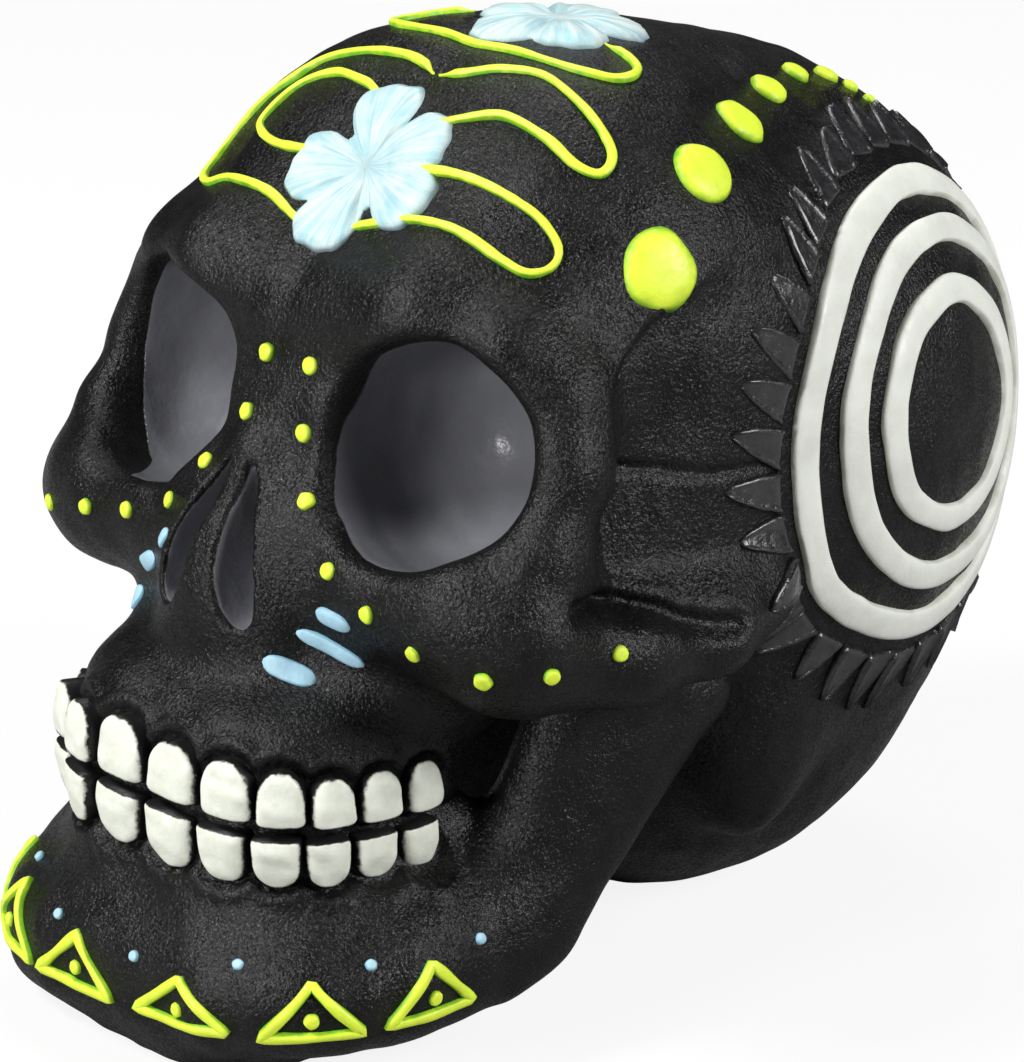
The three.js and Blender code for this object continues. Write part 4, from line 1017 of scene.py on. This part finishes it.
CHIN_DOTS = {
    "left": [(4.9, -108.5, 20.8), (27, -103.7, 24.3), (43.8, -89.5, 25.6), (48.8, -68.3, 25.9)],
    "right": [(-17.3, -108.2, 21.5), (-35, -98.5, 24), (-46.5, -80, 25.7)],
}
CHIN_DOT_WIDTH = 2.3
MARK_RISE = 0.9
CHIN_DOT_RISE = 0.7
STROKE_RISE = 0.8


def on_face(skin, place):
    """The skin's place nearest to a measured one."""
    found, *_ = skin.tree.find_nearest(Vector(place))
    return np.array(found)


def face_marks():
    for side_name, side in SIDES:
        for n, (place, width) in enumerate(zip(FACE_DOTS[side_name], FACE_DOT_WIDTHS)):
            centre = on_face(CRANIUM, place)
            dot(f"face_dot_{side_name}_{n + 1}", CRANIUM, centre, width, NEON,
                60 + n + (side > 0) * 20, MARK_RISE)
        for n, (start, end, width) in enumerate(STROKES[side_name]):
            ends = [on_face(CRANIUM, place) for place in (start, end)]
            path = [on_face(CRANIUM, ends[0] + (ends[1] - ends[0]) * t) for t in np.linspace(0, 1, 16)]
            t = np.linspace(-1, 1, 16)
            half = width / 2 * np.clip(1 - np.abs(t) ** 3.5, 0.04, 1) ** 0.5
            rise = STROKE_RISE * np.clip(1 - np.abs(t) ** 4, 0.1, 1)
            points, faces, rim = strip(CRANIUM, path, half, rise, False)
            piece(f"cheek_stroke_{side_name}_{n + 1}", points, faces, BLUE, None, rim=rim)
        for n, place in enumerate(CHIN_DOTS[side_name]):
            centre = on_face(JAW, place)
            dot(f"chin_dot_{side_name}_{n + 1}", JAW, centre, CHIN_DOT_WIDTH, BLUE, 90 + n,
                CHIN_DOT_RISE)


# Chin triangles: outlines laid on the jaw, with a dot inside each. Each has the place of its middle along
# the chin, its width and its height.

TRIANGLES = {
    "left": [(17.5, 27.0, 9.9), (44.5, 23.0, 10.9), (67.5, 21.5, 10.9)],
    "right": [(10.6, 24.0, 11.6), (33.5, 23.0, 13.0), (52.0, 17.5, 11.0)],
}
TRIANGLE_BAND = 2.1
TRIANGLE_RISE = 1.1
TRIANGLE_DOT_WIDTH = 3.0
TRIANGLE_INSET = 0.82
CHIN_OFF = 20.0
# How far the dot lies under the middle of its triangle
TRIANGLE_DROP = 1.8
# How high the triangles' middles are, at distances along the chin to the skull's left
TRIANGLE_ROW = [(-67, 21.5), (-53, 19.5), (-32, 16.8), (-10.4, 16), (17.5, 17.4), (44.5, 20.4), (67, 21.0)]


def oval(side, front, back, square):
    """Half a squarish oval, seen from above, from the middle of its front to its side."""
    angles = np.linspace(0, math.pi / 2, 481)
    xs = side * np.sin(angles) ** (2 / square)
    ys = back - front * np.maximum(np.cos(angles), 0) ** (2 / square)
    return xs, ys, np.concatenate([[0], np.cumsum(np.hypot(np.diff(xs), np.diff(ys)))])


def on_oval(xs, ys, lengths, distance):
    """The place and the way out at a distance along an oval."""
    x, y = (np.interp(distance, lengths, axis) for axis in (xs, ys))
    span = np.array([max(distance - 1, 0), min(distance + 1, lengths[-1])])
    dx, dy = (np.diff(np.interp(span, lengths, axis))[0] for axis in (xs, ys))
    out = np.array([dy, -dx]) / math.hypot(dx, dy)
    return x, y, out


def chin_place(side, along, rise):
    outline = JAW_WALLS[1]
    reach = [(outline[way] + outline["half"]) * HEAD for way in ("side", "front")]
    xs, ys, lengths = oval(*reach, JAW_BACK * HEAD, outline["square"])
    x, y, out = on_oval(xs, ys, lengths, abs(along))
    hand = math.copysign(1, along) * side
    row = np.interp(hand * abs(along), *zip(*TRIANGLE_ROW))
    start = np.array([hand * (x + CHIN_OFF * out[0]), y + CHIN_OFF * out[1], row + rise])
    return JAW.hit(start, (-hand * out[0], -out[1], 0))


def chin_triangle(side_name, side, n):
    centre, width, height = TRIANGLES[side_name][n]
    tips = [(-width / 2, -height / 2), (width / 2, -height / 2), (0, height / 2)]
    tips = [(x * TRIANGLE_INSET, (y + TRIANGLE_DROP) * TRIANGLE_INSET - TRIANGLE_DROP) for x, y in tips]
    outline = []
    for (ax, az), (bx, bz) in zip(tips, tips[1:] + tips[:1]):
        for t in np.linspace(0, 1, 12, endpoint=False):
            outline.append(chin_place(side, centre + ax + (bx - ax) * t, az + (bz - az) * t))
    path = even(outline, PITCH, closed=True)
    half = TRIANGLE_BAND / 2 * (1 + 0.12 * unevenness(path, 8, 31 + n))
    points, faces, rim = strip(JAW, path, half, TRIANGLE_RISE, True)
    piece(f"chin_triangle_skin_{side_name}_{n + 1}", points, faces, NEON,
          f"chin_triangle_{side_name}_{n + 1}", side < 0, rim=rim)
    middle = chin_place(side, centre, -TRIANGLE_DROP)
    dot(f"triangle_dot_{side_name}_{n + 1}", JAW, middle, TRIANGLE_DOT_WIDTH, NEON, 120 + n, MARK_RISE)


# Teeth: blunt blocks, wide at the bite and round at the root, that stand out of the gum


def arch_place(distance):
    """A place on the line of the teeth, and the way out of it, at a distance from the middle."""
    xs, ys, lengths = oval(ARCH_WIDTH / 2, ARCH_DEPTH, ARCH_BACK * HEAD, ARCH_SQUARE)
    x, y, out = on_oval(xs, ys, lengths, abs(distance))
    hand = math.copysign(1, distance)
    behind = (y - ys[0]) / (ys[-1] - ys[0])
    return np.array([hand * x, y]), np.array([hand * out[0], out[1]]), behind, lengths[-1]


def tooth_half(part, upper):
    """Half the width of a tooth's face, as a share, from the bite at 0 to the root at 1."""
    corner = 1 - (0.16 if upper else 0.1) * (1 - min(part / 0.1, 1)) ** 2
    taper = 1 - (0.1 if upper else 0.08) * part
    start, power = (0.42, 2.4) if upper else (0.5, 2.8)
    return corner * taper * math.sqrt(max(1 - max((part - start) / (1 - start), 0) ** power, 0))


def tooth_seat(side, n, upper):
    """A tooth's place, the way out of it, its widths in front and behind, its bite, its height and its
    random numbers."""
    total = arch_place(1.0)[3]
    before = sum(TOOTH_WIDTHS[:n]) * total + side * (UPPER_SHIFT if upper else LOWER_SHIFT)
    width = TOOTH_WIDTHS[n] * total
    place, out, behind, _ = arch_place(side * (before + width / 2))
    if side < 0:
        place = place + out * RIGHT_FLARE * min(n, 2) / 2
    ends = [arch_place(side * distance if distance else side * 0.01) for distance in (before, before + width)]
    chord = ends[1][0] - ends[0][0]
    out = side * np.array([chord[1], -chord[0]]) / np.linalg.norm(chord)
    if side < 0 and n == 2:
        out = np.array(turned(*out, -RIGHT_TURN))
    start, end = (end[0] - end[1] * 2 * TOOTH_STAND for end in ends)
    inner = np.linalg.norm(end - start)
    chance = np.random.default_rng(200 + n + 10 * upper + 20 * (side > 0))
    bite = BITE_FRONT + (BITE_REAR - BITE_FRONT) * behind + (BITE_RISE if upper else -BITE_DROP)
    height = TOOTH_HEIGHT * TOOTH_HEIGHTS[n] * chance.uniform(0.95, 1.05) * (1 if upper else LOWER_HEIGHT)
    return place, out, np.linalg.norm(chord), inner, bite, height, chance


def tooth(side_name, side, n, upper):
    place, out, width, inner, start, height, chance = tooth_seat(side, n, upper)
    hand = 1 if upper else -1
    width *= chance.uniform(0.87, 0.93)
    aside = np.array([-out[1], out[0]])
    tilt = chance.uniform(-0.05, 0.05)
    rows, columns = 20, 36
    points, rim = [], []
    for row in range(rows + 1):
        part = row / rows
        half = width / 2 * max(tooth_half(part, upper), 0.04)
        z = start + hand * height * part
        face = TOOTH_FACE - 1.7 * part ** 2 - 0.5 * (1 - part) ** 4
        for column in range(columns):
            angle = math.tau * column / columns
            across = math.copysign(abs(math.cos(angle)) ** TOOTH_SQUARE, math.cos(angle))
            forth = math.copysign(abs(math.sin(angle)) ** TOOTH_SQUARE, math.sin(angle))
            depth = face if forth > 0 else TOOTH_BACK
            lean = tilt * (part - 0.5) * height
            slim = np.interp(forth * depth, (-2 * TOOTH_STAND, TOOTH_STAND), (min(inner / width, 1), 1.0))
            spot = place + aside * (across * half * slim + lean) + out * (forth * depth - TOOTH_STAND)
            points.append((*spot, z))
            near = min(half * (1 - abs(across)), 2 * height * part, height * (1 - part))
            rim.append(1 - min(near / TOOTH_EDGE, 1) if forth > 0 else 1.0)
    points = np.array(points)
    bumps = unevenness(points, 5, 300 + n)
    points[:, :2] += np.outer(bumps * TOOTH_BUMPS, out)
    kind = "upper" if upper else "lower"
    piece(f"{kind}_tooth_skin_{side_name}_{n + 1}", points, sheet(rows, columns, ends=True), IVORY,
          f"{kind}_tooth_{side_name}_{n + 1}", not upper, rim=rim)


# Build

skin_piece("cranium_skin", CRANIUM, "cranium", 3, True)
skin_piece("jaw_skin", JAW, "mandible", 7, False)
for side_name, side in SIDES:
    for ring_name in RINGS:
        ring(side_name, side, ring_name)
    sunburst(side_name, side)
    for n, (turn, rise, width) in enumerate(CROWN_DOTS + SMALL_DOTS):
        node = f"crown_dot_{side_name}_{n + 1}" if n < len(CROWN_DOTS) else None
        centre = on_chart(side * turn, rise)
        dot(f"crown_dot_skin_{side_name}_{n + 1}", CRANIUM, centre, width, NEON, 50 + n, CROWN_DOT_RISE, node)
    for n in range(len(TOOTH_WIDTHS)):
        tooth(side_name, side, n, True)
        tooth(side_name, side, n, False)
    for n in range(3):
        chin_triangle(side_name, side, n)
flower_centres = [flower(name, **shape) for name, shape in FLOWERS.items()]
for scroll_name, scroll_places in SCROLLS.items():
    scroll(scroll_name, scroll_places, flower_centres)
face_marks()

# Floor, light and camera

FLOOR_REACH = 3.0
FLOOR_GREY = 0.3
FLOOR_GLOW = 1.45
FLOOR_GLOW_SHARE = 0.6
SKY_GLOW = 0.04
LAMPS_LOOK_AT = Vector((0, 0, 0.09))


def floor():
    mesh = bpy.data.meshes.new("floor")
    corners = [(x * FLOOR_REACH, y * FLOOR_REACH, 0) for x, y in ((-1, -1), (1, -1), (1, 1), (-1, 1))]
    mesh.from_pydata(corners, [], [(0, 1, 2, 3)])
    shown = show("floor", mesh)
    material = bpy.data.materials.new("floor")
    nodes = Nodes(material)
    nodes.tree.nodes.remove(nodes.tree.nodes["Principled BSDF"])
    plain = nodes.add("BsdfDiffuse", {"Color": (FLOOR_GREY, FLOOR_GREY, FLOOR_GREY, 1)})
    white = nodes.add("Emission", {"Strength": FLOOR_GLOW})
    share = nodes.math("MULTIPLY", nodes.add("LightPath").outputs["Is Camera Ray"], FLOOR_GLOW_SHARE)
    mixed = nodes.add("MixShader", {"Fac": share, 1: plain.outputs[0], 2: white.outputs[0]})
    nodes.tree.links.new(mixed.outputs[0], nodes.tree.nodes["Material Output"].inputs["Surface"])
    mesh.materials.append(material)


def world_light():
    sky = bpy.data.worlds.new("studio")
    bpy.context.scene.world = sky
    nodes = Nodes(sky)
    background = nodes.tree.nodes["Background"]
    background.inputs["Color"].default_value = (1, 1, 1, 1)
    seen = nodes.add("LightPath")
    either = nodes.math("MAXIMUM", seen.outputs["Is Camera Ray"], seen.outputs["Is Transmission Ray"])
    strength = nodes.span(either, 0.0, 1.0, SKY_GLOW)
    nodes.tree.links.new(strength, background.inputs["Strength"])


def lamp(name, place, size, power):
    light = bpy.data.lights.new(name, "AREA")
    light.shape = "DISK"
    light.size = size
    light.energy = power
    shown = show(name, light)
    shown.location = place
    shown.rotation_euler = (LAMPS_LOOK_AT - Vector(place)).to_track_quat("-Z", "Y").to_euler()


CAMERA_TURN = 46.0
CAMERA_RISE = 20.0
CAMERA_DISTANCE = 0.9
CAMERA_TARGET = (-4.0, -9.0, 73.0)
SENSOR = 36.0
FOCAL_SHARE = 4815 / 1024


def camera():
    turn, rise = math.radians(CAMERA_TURN), math.radians(CAMERA_RISE)
    back = Vector((math.sin(turn) * math.cos(rise), -math.cos(turn) * math.cos(rise), math.sin(rise)))
    right = Vector((math.cos(turn), math.sin(turn), 0))
    up = back.cross(right)
    lens = bpy.data.cameras.new("camera")
    lens.sensor_fit = "HORIZONTAL"
    lens.sensor_width = SENSOR
    lens.lens = FOCAL_SHARE * SENSOR
    shown = show("camera", lens)
    shown.matrix_world = Matrix(((right.x, up.x, back.x, 0), (right.y, up.y, back.y, 0),
                                 (right.z, up.z, back.z, 0), (0, 0, 0, 1)))
    shown.matrix_world.translation = Vector(world(CAMERA_TARGET)) + back * CAMERA_DISTANCE
    bpy.context.scene.camera = shown


floor()
world_light()
lamp("key", (-0.4, -0.75, 1.1), 0.4, 14)
lamp("front", (-0.05, -1.3, 0.38), 0.3, 9.5)
lamp("fill", (1.15, 0.45, 0.75), 0.6, 16)
lamp("rim", (-0.5, 0.5, 1.1), 0.5, 4)
camera()
bpy.context.scene.view_settings.view_transform = "Standard"
